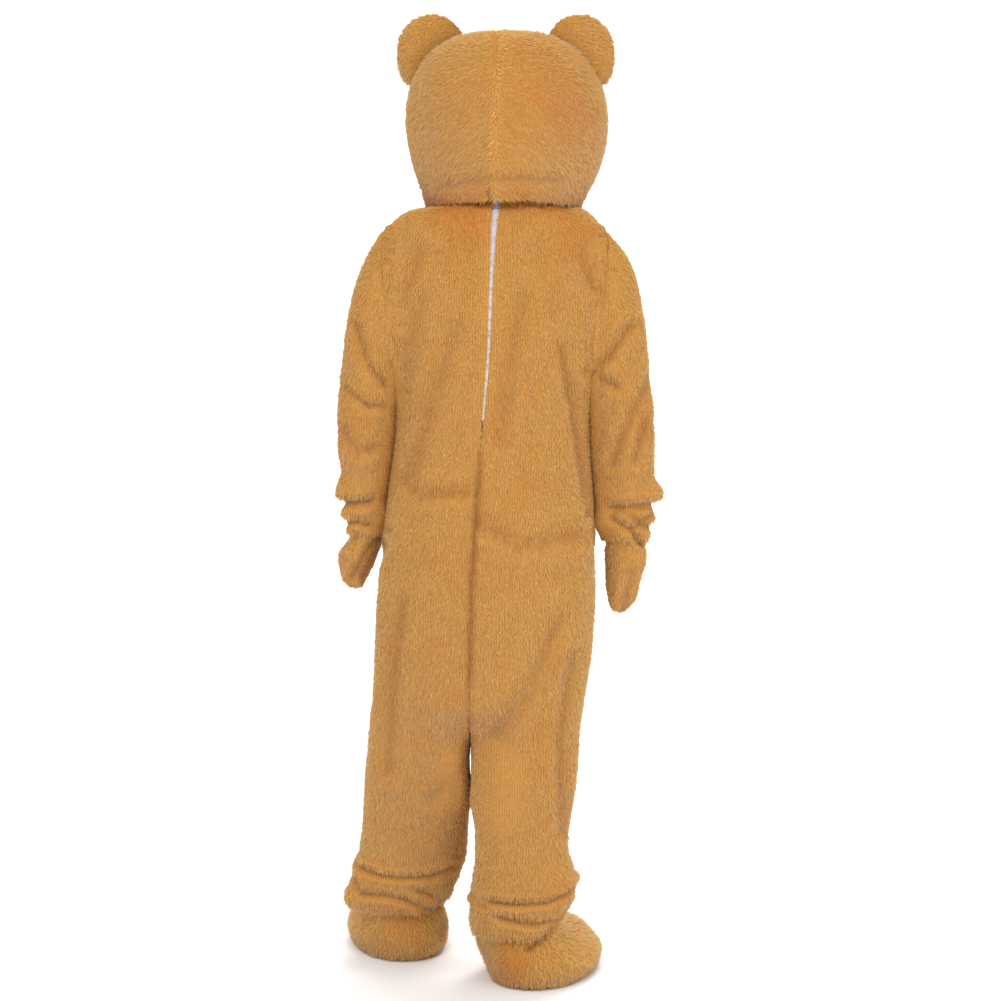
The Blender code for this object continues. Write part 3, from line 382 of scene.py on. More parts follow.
FACING_GAIN, FACING_START = 2.2, 0.35    # a crease fades out where the cloth turns away from its view


def height_above_floor(places):
    """The height of each place above the floor, in millimetres."""
    return (places[:, 2] - FLOOR) / MM


def seen_flat(places):
    """Each place as the photo's plane shows it: millimetres across and above the floor."""
    return np.stack([places[:, 0], places[:, 2] - FLOOR], axis=1) / MM


def fade(distance, reach):
    """1 at no distance, falling softly to 0 beyond the reach. Both have the same unit."""
    return np.exp(-(distance / reach) ** 2)


def rising(value, start, span):
    """0 below the start, and 1 once the value is a span above it."""
    return np.clip((value - start) / span, 0, 1)


def falling(value, end, span):
    """1 until the value is a span below the end, and 0 from the end on."""
    return np.clip((end - value) / span, 0, 1)


def distance_to_line(points, line):
    """How far flat points lie from a line of segments."""
    best = np.full(len(points), np.inf)
    for start, end in zip(line[:-1], line[1:]):
        start, end = np.array(start, float), np.array(end, float)
        run = end - start
        share = np.clip(((points - start) @ run) / (run @ run), 0, 1)
        best = np.minimum(best, np.linalg.norm(points - (start + share[:, None] * run), axis=1))
    return best


def crease_depths(places, normals):
    """How far the cloth sinks at each place, in metres, and how much painted shade its trough gets, from 0
    to 1.
    """
    flat = seen_flat(places)
    sink = np.zeros(len(places))
    painted_shade = np.zeros(len(places))
    for name, view, depth, width, line in CREASES:
        facing = np.clip(normals[:, 1] * view * FACING_GAIN + FACING_START, 0, 1)
        away = distance_to_line(flat, line) / width
        trough = np.exp(-away ** 2) - SWELL * np.exp(-((away - SWELL_AT) / SWELL_SPREAD) ** 2)
        sink += depth * MM * facing * trough
        strength = min(depth / FULL_SHADE_DEPTH, FULL_SHADE_WIDTH / width, 1)
        painted_shade = np.maximum(painted_shade, facing * np.exp(-(away * SHADE_NARROWS) ** 2) * strength)
    return sink, painted_shade


print(len(CREASES), "creases")

# %% [markdown]
# ## Swells and armholes
# Cloth that is pushed together bulges between its creases, at the cuffs and ankles most of all. A
# crease table can't say that, so a second table holds round bulges: a middle, a radius and a height.
# It is applied to the pieces whose names start as the row says. Where a sleeve is set in, the seam
# pulls all three cloths down together, so that no gap opens between them.

# %% Swells, and the pull of the armhole seams
SWELLS = [
    # name, start of the node's name, across, behind (+) the middle, height, radius, height of the swell
    ("right toes, under the hem", "shoe_upper_right", -128, -90, 92, 46, 15),
    ("right ankle's outer roll", "back_right", -150, 40, 150, 34, 9),
    ("right ankle's outer roll, front", "front_right", -150, 20, 150, 34, 9),
    ("left ankle's outer roll", "back_left", 272, -60, 150, 34, 5),
    ("left heel", "shoe_upper_left", 205, -30, 84, 40, 5),
    ("left shoulder", "sleeve_left", 262, 0, 1300, 60, 2),
    ("right shoulder by the neck", "back_right", -140, 18, 1410, 34, 9),
    ("right shoulder by the neck, front", "front_right", -140, 0, 1410, 34, 9),
    ("left shoulder by the neck", "back_left", 152, 18, 1410, 34, 5),
    ("left shoulder by the neck, front", "front_left", 152, 0, 1410, 34, 5),
    ("right shoulder", "sleeve_right", -250, 0, 1320, 60, 4),
    ("right upper arm", "sleeve_right", -300, 0, 1080, 90, 3),
    ("left upper arm", "sleeve_left", 300, 0, 1090, 90, 3),
    ("right cuff, upper roll", "sleeve_right", -292, 8, 904, 24, 6),
    ("right cuff, middle roll", "sleeve_right", -274, 5, 858, 17, 11),
    ("right cuff, lowest roll", "sleeve_right", -262, 5, 824, 13, 11),
    ("right cuff, inside roll", "sleeve_right", -192, 10, 846, 22, 10),
    ("right cuff, back roll", "sleeve_right", -228, 36, 856, 24, 6),
    ("right cuff, back edge", "sleeve_right", -214, 34, 820, 15, 6),
    ("left cuff, upper roll", "sleeve_left", 294, 5, 898, 24, 9),
    ("left cuff, middle roll", "sleeve_left", 282, 5, 862, 17, 7),
    ("left cuff, lowest roll", "sleeve_left", 274, 5, 832, 13, 6),
    ("left cuff, inside roll", "sleeve_left", 204, 5, 856, 22, 7),
    ("left cuff, back roll", "sleeve_left", 246, 36, 862, 24, 5),
    ("right mitten, thumb side", "mitten_right", -262, 0, 775, 26, 6),
    ("right mitten, tip", "mitten_right", -222, 0, 682, 22, 4),
    ("right mitten, second tip", "mitten_right", -250, -6, 705, 20, 5),
    ("left mitten, knuckles", "mitten_left", 296, -30, 790, 26, 5),
    ("left mitten, tip", "mitten_left", 284, -34, 736, 22, 4),
    ("left mitten, inside", "mitten_left", 226, -20, 826, 24, 8),
    ("left ankle, outer hem", "back_left", 284, -80, 118, 26, 12),
    ("left ankle, outer hem, front", "front_left", 284, -110, 118, 26, 12),
    ("left ankle, inner leg", "back_left", 92, -60, 140, 30, 7),
    ("left shoe, inner side", "shoe_upper_left", 100, -110, 88, 36, 14),
    ("right ankle, toe side", "back_right", -144, 20, 112, 32, 17),
    ("right ankle, toe side, front", "front_right", -144, 0, 112, 36, 19),
    ("right ankle, inner roll", "back_right", 58, 60, 160, 24, 5),
    ("right shoe, inner side", "shoe_upper_right", 42, 20, 66, 32, 14),
    ("left ear, lower edge", "ear_left", 186, -14, 1668, 26, 5),
    ("right ear, lower edge", "ear_right", -205, -14, 1666, 28, 7),
    ("upper back under the hem, left", "back_left", 70, 95, 1412, 60, 7),
    ("upper back under the hem, right", "back_right", -58, 95, 1412, 60, 7),
    ("top of the head, left", "head_back_left", 5, 10, 1755, 80, -6),
    ("top of the head, right", "head_back_right", 5, 10, 1755, 80, -6),
    ("top of the head, front", "head_face", 5, 10, 1755, 80, -6),
    ("right toes, above", "shoe_upper_right", -138, -50, 112, 36, 18),
    ("right toes, above, front", "shoe_upper_right", -146, -100, 96, 36, 8),
]


ARMHOLE_TOPS = [(212, 0, 1402), (-190, 0, 1402)]
ARMHOLE_DROP = 8.0       # how far the seam's top is pulled down,
ARMHOLE_REACH = 30.0     # and how far round it that is felt
SHOULDER_REACH = 55.0    # the cloth moves straight up or down within this reach, not along its normals


def near_armholes(places, reach):
    """1 at the top of each armhole, fading to 0 over the reach in millimetres."""
    near = np.zeros(len(places))
    for top in ARMHOLE_TOPS:
        centre = np.array(top) * MM + np.array([0, 0, FLOOR])
        near += fade(np.linalg.norm(places - centre, axis=1), reach * MM)
    return near


def swell_heights(node, places):
    """How far the cloth bulges out at each place, in metres."""
    rise = np.zeros(len(places))
    for name, start, across, behind, height, radius, swell in SWELLS:
        if node.startswith(start):
            centre = np.array([across * MM, behind * MM, height * MM + FLOOR])
            rise += swell * MM * fade(np.linalg.norm(places - centre, axis=1), radius * MM)
    return rise


print(len(SWELLS), "swells")

# %% [markdown]
# ## The lie of the pile
# Plush is combed one way, its nap. On the suit it runs down, on the head and ears it sweeps outwards
# and down, and on the shoe covers it runs towards the floor. The tufts need that as a direction on
# the surface. The table of brushed places says where the pile stands open and warmer in colour, and
# its rows under the head's hem paint a warmer, darker shade where the hem's shadow falls.

# %% Nap and warmth
BRUSHED_AND_SHADED = [
    # name, view, across, height, radius, strength
    ("left of the zip", BACK, 55, 1380, 48, 0.75),
    ("beside the right shoulder", BACK, -134, 1362, 42, 0.7),
    # painted shade: under the head's hem the colour is made warmer and darker, where the hem's shadow falls
    ("under the hem, left", BACK, 84, 1424, 30, 0.9),
    ("under the hem, middle", BACK, 24, 1428, 30, 0.9),
    ("under the hem, right", BACK, -40, 1426, 30, 0.9),
    ("under the hem, far right", BACK, -96, 1424, 26, 0.7),
    ("right of the head's seam", BACK, -50, 1640, 75, 0.6),
    ("right side of the head", BACK, -128, 1585, 50, 0.45),
    ("left shoe's heel", BACK, 181, 81, 45, 0.5),
    ("right shoe's heel", BACK, -20, 50, 32, 0.7),
    ("right ankle roll", BACK, -116, 172, 26, 0.5),
    ("left ankle roll", BACK, 240, 190, 24, 0.4),
    ("right sleeve's elbow", BACK, -262, 1040, 40, 0.35),
    ("left sleeve's elbow", BACK, 276, 1020, 40, 0.35),
    ("chest", FRONT, 70, 1300, 50, 0.4),
    ("belly", FRONT, -60, 1010, 60, 0.35),
    ("left knee", FRONT, 170, 470, 45, 0.4),
]
HEAD_MIDDLE = 10.0    # the pile of the head is combed to both sides of this line,
HEAD_SWEEP = 0.9      # nearly as much as it is combed down
TURNED_AWAY = -0.2    # a brushed place ends where the cloth turns away from its view


def nap_and_warmth(node, places, normals):
    """The pile's lie and its warmth at each place. The warmth includes painted shade under the head's hem.
    """
    nap = np.tile([0.0, 0.0, -1.0], (len(places), 1))
    if node.startswith(("head", "ear")):
        nap[:, 0] = np.sign(places[:, 0] - HEAD_MIDDLE * MM) * HEAD_SWEEP
    flat = seen_flat(places)
    warmth = np.zeros(len(places))
    for name, view, across, height, radius, strength in BRUSHED_AND_SHADED:
        near = fade(np.linalg.norm(flat - np.array([across, height]), axis=1), radius)
        warmth += strength * near * (normals[:, 1] * view > TURNED_AWAY)
    nap -= normals * np.sum(nap * normals, axis=1)[:, None]
    nap /= np.linalg.norm(nap, axis=1)[:, None] + 1e-6
    return nap, warmth


print(len(BRUSHED_AND_SHADED), "brushed places")

# %% [markdown]
# ## Measure a piece of cloth
# What a vertex has to do depends on where it lies: near a cut edge, beside another piece, or out in
# the open. So we read all vertices into a table at once, which is far quicker than one by one, and
# measure distances with search trees: a KDTree finds the nearest point, a BVHTree the nearest face.

# %% Tables of vertices, and distances to edges and neighbours
FAR_AWAY = 1.0                     # metres, more than any cloth is wide
RUB_GAIN, RUB_START = 2, 0.4       # two cloths rub where they face each other


def vertex_table(mesh, name, width=3):
    """Vertex positions or normals as a table of numbers."""
    source = mesh.vertices if name == "co" else mesh.vertex_normals
    values = np.empty(len(mesh.vertices) * width)
    source.foreach_get("co" if name == "co" else "vector", values)
    return values.reshape(-1, width)


def distance_to_cut(mesh, places):
    """How far each vertex lies from the nearest open edge of the sheet."""
    counts = np.zeros(len(mesh.edges), int)
    for polygon in mesh.polygons:
        for key in polygon.loop_indices:
            counts[mesh.loops[key].edge_index] += 1
    ends = {vertex for edge in np.flatnonzero(counts == 1) for vertex in mesh.edges[edge].vertices}
    if not ends:
        return np.full(len(places), FAR_AWAY)
    tree = KDTree(len(ends))
    for index in ends:
        tree.insert(places[index], index)
    tree.balance()
    return np.array([tree.find(place)[2] for place in places])


def add_attribute(mesh, name, kind, values):
    """A value for each vertex, for the tufts and the shader to read."""
    attribute = mesh.attributes.new(name, kind, "POINT")
    attribute.data.foreach_set("vector" if kind == "FLOAT_VECTOR" else "value", np.ravel(values))


def guide_surface(*nodes):
    """A search tree over the guide walls of some nodes."""
    shape = bmesh.new()
    for node in nodes:
        shape.from_mesh(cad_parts[node].data)
    tree = BVHTree.FromBMesh(shape)
    shape.free()
    return tree


def neighbour(nodes, places, normals):
    """How far each place lies from the guide walls of some nodes, and whether the two face each other."""
    if not nodes:
        return np.full(len(places), FAR_AWAY), np.zeros(len(places))
    tree = guide_surface(*nodes)
    found = [tree.find_nearest(place) for place in places]
    away = np.array([hit[3] for hit in found])
    facing = np.array([-Vector(normal).dot(hit[1]) for normal, hit in zip(normals, found)])
    return away, np.clip(facing * RUB_GAIN - RUB_START, 0, 1)


print("vertex and distance helpers ready")

# %% [markdown]
# ## Room for the pile
# The guide wall reaches as far as the tips of the pile, so the backing lies one pile's height under
# it. In three places it keeps less room. The sleeves are set in at an angle, so both cloths come up to
# the guide there and meet. Under the arms and between the legs, two piles press on each other, and
# the cloth stands even past the guide, so that they touch.

# %% How much of the pile's height the cloth keeps under the guide
SET_IN = {
    "back_left": ["sleeve_left"], "front_left": ["sleeve_left"],
    "back_right": ["sleeve_right"], "front_right": ["sleeve_right"],
    "sleeve_left": ["back_left", "front_left"], "sleeve_right": ["back_right", "front_right"],
}
SET_IN_SHARE = 0.95     # how much of the room goes at a set-in seam,
SET_IN_REACH = 11.0     # and how far from it
RUB_SHARE = 3.2         # the same where an arm hangs against the body
RUB_REACH = 24.0
RUBBED_SHARE = -1.5     # the room that is left on the insides of the legs,
RUBBED_LOW, RUBBED_HIGH, RUBBED_FADE = 275.0, 460.0, 50.0    # between these heights
LEG_REACH = 17.0        # the room goes where one leg's seam meets the other's,
CROTCH_LOW, CROTCH_HIGH = 330.0, 600.0    # between these heights,
CROTCH_FADE_LOW, CROTCH_FADE_HIGH = 50.0, 120.0    # fading over these
INWARDS_GAIN = 1.6
OTHER_LEG = {
    "back_left": ["back_right", "front_right"], "front_left": ["back_right", "front_right"],
    "back_right": ["back_left", "front_left"], "front_right": ["back_left", "front_left"],
}


def side_sign(node):
    """1 for a piece on the costume's left, and -1 for one on its right."""
    return 1 if node.endswith("left") else -1


def room_share(node, places, normals):
    """The share of the pile's height that the cloth keeps under the guide."""
    away, facing = neighbour(SET_IN.get(node), places, normals)
    share = 1 - SET_IN_SHARE * (1 - facing) * fade(away, SET_IN_REACH * MM)
    share -= RUB_SHARE * facing * fade(away, RUB_REACH * MM)
    if node.startswith(("back", "front")):
        above = height_above_floor(places)
        inwards = np.clip(-normals[:, 0] * side_sign(node) * INWARDS_GAIN, 0, 1)
        level = rising(above, RUBBED_LOW, RUBBED_FADE) * falling(above, RUBBED_HIGH, RUBBED_FADE)
        share *= 1 - (1 - RUBBED_SHARE) * inwards * level
        crotch = rising(above, CROTCH_LOW, CROTCH_FADE_LOW) * falling(above, CROTCH_HIGH, CROTCH_FADE_HIGH)
        share *= 1 - crotch * fade(neighbour(OTHER_LEG[node], places, normals)[0], LEG_REACH * MM)
    return share


print(len(SET_IN), "pieces meet at set-in seams")

# %% [markdown]
# ## Pieces sewn on top
# Ears, muzzle, nose and eyes sit on another piece. Their guide bodies touch the tips of its pile, so
# their hidden undersides have to go down through the pile, to the cloth it grows on.

# %% Let a piece's underside reach the cloth it is sewn to
SEWN_ON = {
    # piece: what it is sewn to, and how deep its pile is
    "ear_left": (["head_back_left", "head_face"], 6.0),
    "ear_right": (["head_back_right", "head_face"], 6.0),
    "muzzle": (["head_face"], 6.0),
    "nose": (["muzzle"], 4.0),
    "eye_left": (["head_face"], 6.0),
    "eye_right": (["head_face"], 6.0),
}
UNDERSIDE_REACH = 7.0


def sewn_on(node, places, moved):
    """Moves the underside of a sewn-on piece into the pile below it."""
    hosts, depth = SEWN_ON[node]
    tree = guide_surface(*hosts)
    result = moved.copy()
    for index, place in enumerate(places):
        _, normal, _, away = tree.find_nearest(place)
        share = math.exp(-(away / (UNDERSIDE_REACH * MM)) ** 2)
        below = np.array(place) - np.array(normal) * (depth * MM)
        result[index] = moved[index] * (1 - share) + below * share
    return result


print(len(SEWN_ON), "pieces are sewn on top")

# %% [markdown]
# ## Seams, hems and the zip
# Each kind of piece has its own finish. The head's back seam is a raised line with a painted
# highlight, and its hem is drawn in towards the neck. The suit's back seam is a groove below the zip,
# with painted shade in it, and a sewn-on piece gets painted shade along its seam. Beside the zip, the
# pile is combed towards the teeth and laps over the tapes. The shoe's plush wraps down round its sole,
# and the ears hang a little below their seam. These small functions each give one of those finishes.

# %% Finishes of the single pieces
SEAM_MIDDLE = 14.0      # the centre back seam is this far to the left of the middle,
MIDDLE_REACH = 28.0     # and what lies beside it is within this reach
SEAM_SHADE = 5.0        # the width of the painted highlight and painted shade along the seams
RAISED_SEAM = 1.8       # the head's seam rises by this many dips of a plain seam,
PAINTED_SEAM_HIGHLIGHT = 0.35        # and gets this much painted highlight
PAINTED_GROOVE_SHADE = 0.8         # the suit's seam gets this much painted shade,
PAINTED_GROOVE_SHADE_LOW, PAINTED_GROOVE_SHADE_HIGH, PAINTED_GROOVE_SHADE_FADE = 480, 1000, 60    # between these heights
ZIP_END, ZIP_FADE = 975, 25    # the zip ends at this height
ZIP_BESIDE = 9.0        # how wide a strip of plush belongs to the zip,
ZIP_COMB = 1.6          # how strongly it is combed towards the teeth,
ZIP_LAP = 0.6           # and how much of its height is left to lap over the tapes
SEWN_SHADE = 0.8        # a sewn-on piece gets painted shade at its seam,
SEWN_SHADE_REACH = 7.0  # within this reach
WRAP, WRAP_HEIGHT, WRAP_FADE = 4.5, 20, 10    # how far, and below which height, shoe plush wraps down
HEM_HEIGHT, HEM_TUCK, HEM_DROP, HEM_BEHIND = 60.0, 12.0, 3.0, 80.0
EAR_DROOP = 15.0


def near_back_seam(places):
    """1 on the line of the centre back seam, fading to 0 on both sides."""
    return fade(places[:, 0] - SEAM_MIDDLE * MM, MIDDLE_REACH * MM)


def near_zip(node, places, cut):
    """1 where a back panel lies along the zip, and 0 elsewhere."""
    if not node.startswith("back"):
        return np.zeros(len(places))
    along = rising(height_above_floor(places), ZIP_END, ZIP_FADE)
    return near_back_seam(places) * fade(cut, ZIP_BESIDE * MM) * along


def painted_seam_light(node, places, normals, cut, painted_shade, warmth):
    """The shade and warmth of the pile, with a painted highlight along the head's seam and painted shade
    along the suit's seam and round sewn-on pieces.
    """
    by_seam = np.exp(-cut / (SEAM_SHADE * MM))
    if node.startswith("head_back"):
        painted_shade = painted_shade - PAINTED_SEAM_HIGHLIGHT * near_back_seam(places) * by_seam
        warmth = warmth * (1 - by_seam)
    if node.startswith("back"):
        above = height_above_floor(places)
        below_zip = falling(above, PAINTED_GROOVE_SHADE_HIGH, PAINTED_GROOVE_SHADE_FADE) * (above > PAINTED_GROOVE_SHADE_LOW)
        painted_shade = painted_shade + PAINTED_GROOVE_SHADE * by_seam * below_zip
    if node in SEWN_ON:
        away = neighbour(SEWN_ON[node][0], places, normals)[0]
        painted_shade = painted_shade + SEWN_SHADE * np.exp(-away / (SEWN_SHADE_REACH * MM))
    return painted_shade, warmth


def hung(node, places):
    """The places, moved as the piece hangs: a drawn-in hem on the head, and drooping ears."""
    places = places.copy()
    if node.startswith("head_back"):
        low = np.clip(1 - (places[:, 2] - places[:, 2].min()) / (HEM_HEIGHT * MM), 0, 1) ** 2
        for axis, move in ((1, HEM_TUCK), (2, HEM_DROP)):
            places[:, axis] -= move * MM * low * np.clip(places[:, 1] / (HEM_BEHIND * MM), 0, 1)
    if node.startswith("ear"):
        lower = (places[:, 2].max() - places[:, 2]) / np.ptp(places[:, 2])
        places[:, 2] -= EAR_DROOP * MM * lower ** 2
    return places


print("finishes ready")

# %% [markdown]
# ## The backing cloth
# Now the backing of a piece is put together. The guide's outer face is smoothed with a Subdivision
# Surface, and each vertex sinks by the room for the pile, the creases and a dip along the cut edges,
# where a seam's allowance is pressed inside. The vertices also carry what the pile needs to know, as
# attributes: its lie, its warmth, its shade and its height. The cloth gets its real thickness later.

# %% Build the backing of one piece
SEAM_DIP, SEAM_WIDTH = 3.0, 6.0
SHORTEST_PILE = 0.35        # no pile is shorter than this share of its height,
SHORTEST_AT_FLOOR = 0.15    # but for the one that would reach the floor,
FLOOR_CLEARANCE = 1.0       # from this height down,
FLOOR_FADE = 1.7            # over so many pile heights
STRAIGHT_UP = np.array([0.0, 0.0, 1.0])


def sunk(node, places, normals, sink):
    """The places, moved inwards. Near the armholes they move straight down, so that seams stay shut."""
    if not node.startswith(("back", "front", "sleeve")):
        return places - normals * sink[:, None]
    upright = near_armholes(places, SHOULDER_REACH)[:, None]
    moved = places - (normals * (1 - upright) + STRAIGHT_UP * upright) * sink[:, None]
    moved[:, 2] -= ARMHOLE_DROP * MM * near_armholes(places, ARMHOLE_REACH)
    return moved


def backing(node, pile, material, levels=2, whole=False):
    """The backing cloth of one guide piece, with the pile's lie and colour on its vertices."""
    piece = placed(node + "_cloth", outer_face(node, whole), material)
    mesh = smoothed(piece, levels)
    places, normals = vertex_table(mesh, "co"), vertex_table(mesh, "normals")
    cut = distance_to_cut(mesh, places)
    beside_zip = near_zip(node, places, cut)
    share = room_share(node, places, normals) * (1 - beside_zip)
    dip = SEAM_DIP * np.exp(-cut / (SEAM_WIDTH * MM)) * np.clip(share, 0, 1)
    if node.startswith("head_back"):
        dip *= 1 - RAISED_SEAM * near_back_seam(places)
    creased, painted_shade = crease_depths(places, normals)
    nap, warmth = nap_and_warmth(node, places, normals)
    nap[:, 0] -= ZIP_COMB * beside_zip * side_sign(node)
    painted_shade, warmth = painted_seam_light(node, places, normals, cut, painted_shade, warmth)
    if node.startswith("shoe_upper"):
        places[:, 2] -= WRAP * MM * falling(height_above_floor(places), WRAP_HEIGHT, WRAP_FADE)
    sink = (pile * share + dip) * MM + creased * np.clip(share, 0, 1) - swell_heights(node, places)
    places = hung(node, places)
    moved = sunk(node, places, normals, sink)
    if node.startswith("shoe_upper"):
        moved[:, 2] = np.maximum(moved[:, 2], FLOOR + FLOOR_CLEARANCE / 2 * MM)
    if node in SEWN_ON:
        moved = sewn_on(node, places, moved)
    mesh.vertices.foreach_set("co", np.ravel(moved))
    mesh.update()
    near_floor = np.clip((height_above_floor(moved) - FLOOR_CLEARANCE) / (FLOOR_FADE * pile),
                         SHORTEST_AT_FLOOR, 1)
    height = np.clip(share + ZIP_LAP * beside_zip, SHORTEST_PILE, 1) * near_floor
    add_attribute(mesh, "nap", "FLOAT_VECTOR", nap)
    add_attribute(mesh, "warmth", "FLOAT", warmth)
    add_attribute(mesh, "painted_shade", "FLOAT", np.clip(painted_shade, PALEST, DARKEST))
    add_attribute(mesh, "pile", "FLOAT", height)
    mesh.shade_smooth()
    return piece


print("backing ready")

# %% [markdown]
# ## The pile
# A tuft is a slim three-sided cone of three faces, about as wide as the little locks that brushed
# plush falls into. Real fibres are far finer, so one tuft stands for a bundle of them. Geometry Nodes
# scatter tufts over the backing. Each one leans along the nap, and a noise with cells of about 8 mm
# leans neighbours together, so that they gather in locks. The result is made real, because an exported
# model can't hold instances.

# %% Geometry Nodes for the pile
TUFTS_PER_SQUARE_METRE = 92000
LOCK_SIZE = 8.0
LOCK_LEAN = 1.6                      # how strongly a lock leans its own way
STRAY_LEAN = 0.28                    # how far a single tuft strays from its lock
SHORTEST, LONGEST = 0.72, 1.15       # shares of the tuft's length


def pile_nodes():
    """One node group that grows a pile. Each piece gives it a length, a width, a lean and a seed."""
    tree = bpy.data.node_groups.new("brushed_pile", "GeometryNodeTree")
    for name, kind in (("Cloth", "Geometry"), ("Length", "Float"), ("Width", "Float"), ("Stand", "Float"),
                       ("Density", "Float"), ("Seed", "Int"), ("Material", "Material")):
        tree.interface.new_socket(name, in_out="INPUT", socket_type="NodeSocket" + kind)
    tree.interface.new_socket("Pile", in_out="OUTPUT", socket_type="NodeSocketGeometry")
    given = add_node(tree, "NodeGroupInput").outputs

    def at_random(kind, low, high):
        """A random value for each tuft. Vectors and numbers have their own sockets on the node."""
        node = add_node(tree, "FunctionNodeRandomValue", [("Seed", given["Seed"])], data_type=kind)
        first = 0 if kind == "FLOAT_VECTOR" else 2
        node.inputs[first].default_value = low
        node.inputs[first + 1].default_value = high
        return node.outputs[first // 2]

    def carried(name, kind="FLOAT"):
        """A value that the backing cloth carries."""
        return add_node(tree, "GeometryNodeInputNamedAttribute", data_type=kind, Name=name).outputs[0]

    def marked(geometry, name, value):
        """The geometry with one more value on its points, for the fibre's material to read."""
        return add_node(tree, "GeometryNodeStoreNamedAttribute", [("Geometry", geometry), ("Value", value)],
                        data_type="FLOAT", domain="POINT", Name=name).outputs[0]

    def product(one, other):
        """Two numbers multiplied."""
        return add_node(tree, "ShaderNodeMath", [(0, one), (1, other)], operation="MULTIPLY").outputs[0]

    points = add_node(tree, "GeometryNodeDistributePointsOnFaces",
                      [("Mesh", given["Cloth"]), ("Density", given["Density"]), ("Seed", given["Seed"])])

    # A tuft's lean is a sum: straight up, along the nap, with its lock and a little its own way.
    lock = add_node(tree, "ShaderNodeTexNoise", Scale=1 / (LOCK_SIZE * MM), Detail=1.0)
    lock_lean = add_node(tree, "ShaderNodeVectorMath", [(0, lock.outputs["Color"])],
                         operation="SUBTRACT")
    lock_lean.inputs[1].default_value = (0.5, 0.5, 0.5)
    strong_lean = add_node(tree, "ShaderNodeVectorMath", [(0, lock_lean.outputs[0])], operation="SCALE",
                           Scale=LOCK_LEAN)
    upright = add_node(tree, "ShaderNodeVectorMath",
                       [(0, points.outputs["Normal"]), ("Scale", given["Stand"])], operation="SCALE")
    stray = at_random("FLOAT_VECTOR", [-STRAY_LEAN] * 3, [STRAY_LEAN] * 3)
    lean = upright.outputs[0]
    for part in (carried("nap", "FLOAT_VECTOR"), strong_lean.outputs[0], stray):
        lean = add_node(tree, "ShaderNodeVectorMath", [(0, lean), (1, part)], operation="ADD").outputs[0]
    spin = at_random("FLOAT_VECTOR", (0.0, 0.0, 0.0), (0.0, 0.0, math.tau))
    spun = add_node(tree, "FunctionNodeEulerToRotation", [(0, spin)])
    turned = add_node(tree, "FunctionNodeAlignRotationToVector",
                      [("Rotation", spun.outputs[0]), ("Vector", lean)], axis="Z")

    # Its length is the piece's, times the pile height that the cloth carries, times a random share.
    tall = product(given["Length"], product(carried("pile"), at_random("FLOAT", SHORTEST, LONGEST)))
    size = add_node(tree, "ShaderNodeCombineXYZ", [(0, given["Width"]), (1, given["Width"]), (2, tall)])

    # The cone is one unit high, so the height on it is also the place from root to tip.
    cone = add_node(tree, "GeometryNodeMeshCone", fill_type="NONE", Vertices=3, Radius_Top=0.0,
                    Radius_Bottom=1.0, Depth=1.0)
    position = add_node(tree, "GeometryNodeInputPosition")
    height = add_node(tree, "ShaderNodeSeparateXYZ", [(0, position.outputs[0])])
    tuft = marked(cone.outputs["Mesh"], "tip", height.outputs[2])
    toned = marked(points.outputs["Points"], "tone", at_random("FLOAT", 0.0, 1.0))
    grown = add_node(tree, "GeometryNodeInstanceOnPoints",
                     [("Points", toned), ("Instance", tuft), ("Rotation", turned.outputs[0]),
                      ("Scale", size.outputs[0])])
    real = add_node(tree, "GeometryNodeRealizeInstances", [(0, grown.outputs[0])])
    smooth = add_node(tree, "GeometryNodeSetShadeSmooth", [(0, real.outputs[0])])
    finish = add_node(tree, "GeometryNodeSetMaterial",
                      [("Geometry", smooth.outputs[0]), ("Material", given["Material"])])
    add_node(tree, "NodeGroupOutput", [(0, finish.outputs[0])])
    return tree


PILE_NODES = pile_nodes()
print("pile nodes:", len(PILE_NODES.nodes))

# %% [markdown]
# ## Grow the pile of a piece
# A copy of the backing carries the nodes as a modifier. Its inputs are set by name, the result is
# kept as the pile's own mesh, and the modifier goes. Tips that reach the floor lie flat on it.

# %% Grow the pile of one piece
def grow_pile(cloth, node, length, width, stand, seed, material, density=TUFTS_PER_SQUARE_METRE):
    """The pile of one backing, as a piece of its own."""
    pile = bpy.data.objects.new(node + "_pile", cloth.data.copy())
    bpy.context.scene.collection.objects.link(pile)
    pile.data.materials.clear()
    pile.data.materials.append(material)
    growth = pile.modifiers.new("pile", "NODES")
    growth.node_group = PILE_NODES
    inputs = {item.name: item.identifier for item in PILE_NODES.interface.items_tree
              if item.in_out == "INPUT"}
    for name, value in (("Length", length * MM), ("Width", width * MM), ("Stand", stand),
                        ("Density", float(density)), ("Seed", seed), ("Material", material)):
        growth[inputs[name]] = value
    bpy.context.view_layer.update()
    finished = pile.evaluated_get(bpy.context.evaluated_depsgraph_get())
    mesh = bpy.data.meshes.new_from_object(finished)
    pile.modifiers.clear()
    pile.data = mesh
    places = vertex_table(mesh, "co")
    places[:, 2] = np.maximum(places[:, 2], FLOOR)
    mesh.vertices.foreach_set("co", np.ravel(places))
    return pile


print("the pile has", TUFTS_PER_SQUARE_METRE, "tufts in a square metre")

# %% [markdown]
# ## Dress each plush piece
# Every piece of plush gets its backing and its pile, and both move with the guide's body. The table
# also holds each cut piece's flat size, which is what a maker would lay on the cloth: width, length
# and area.

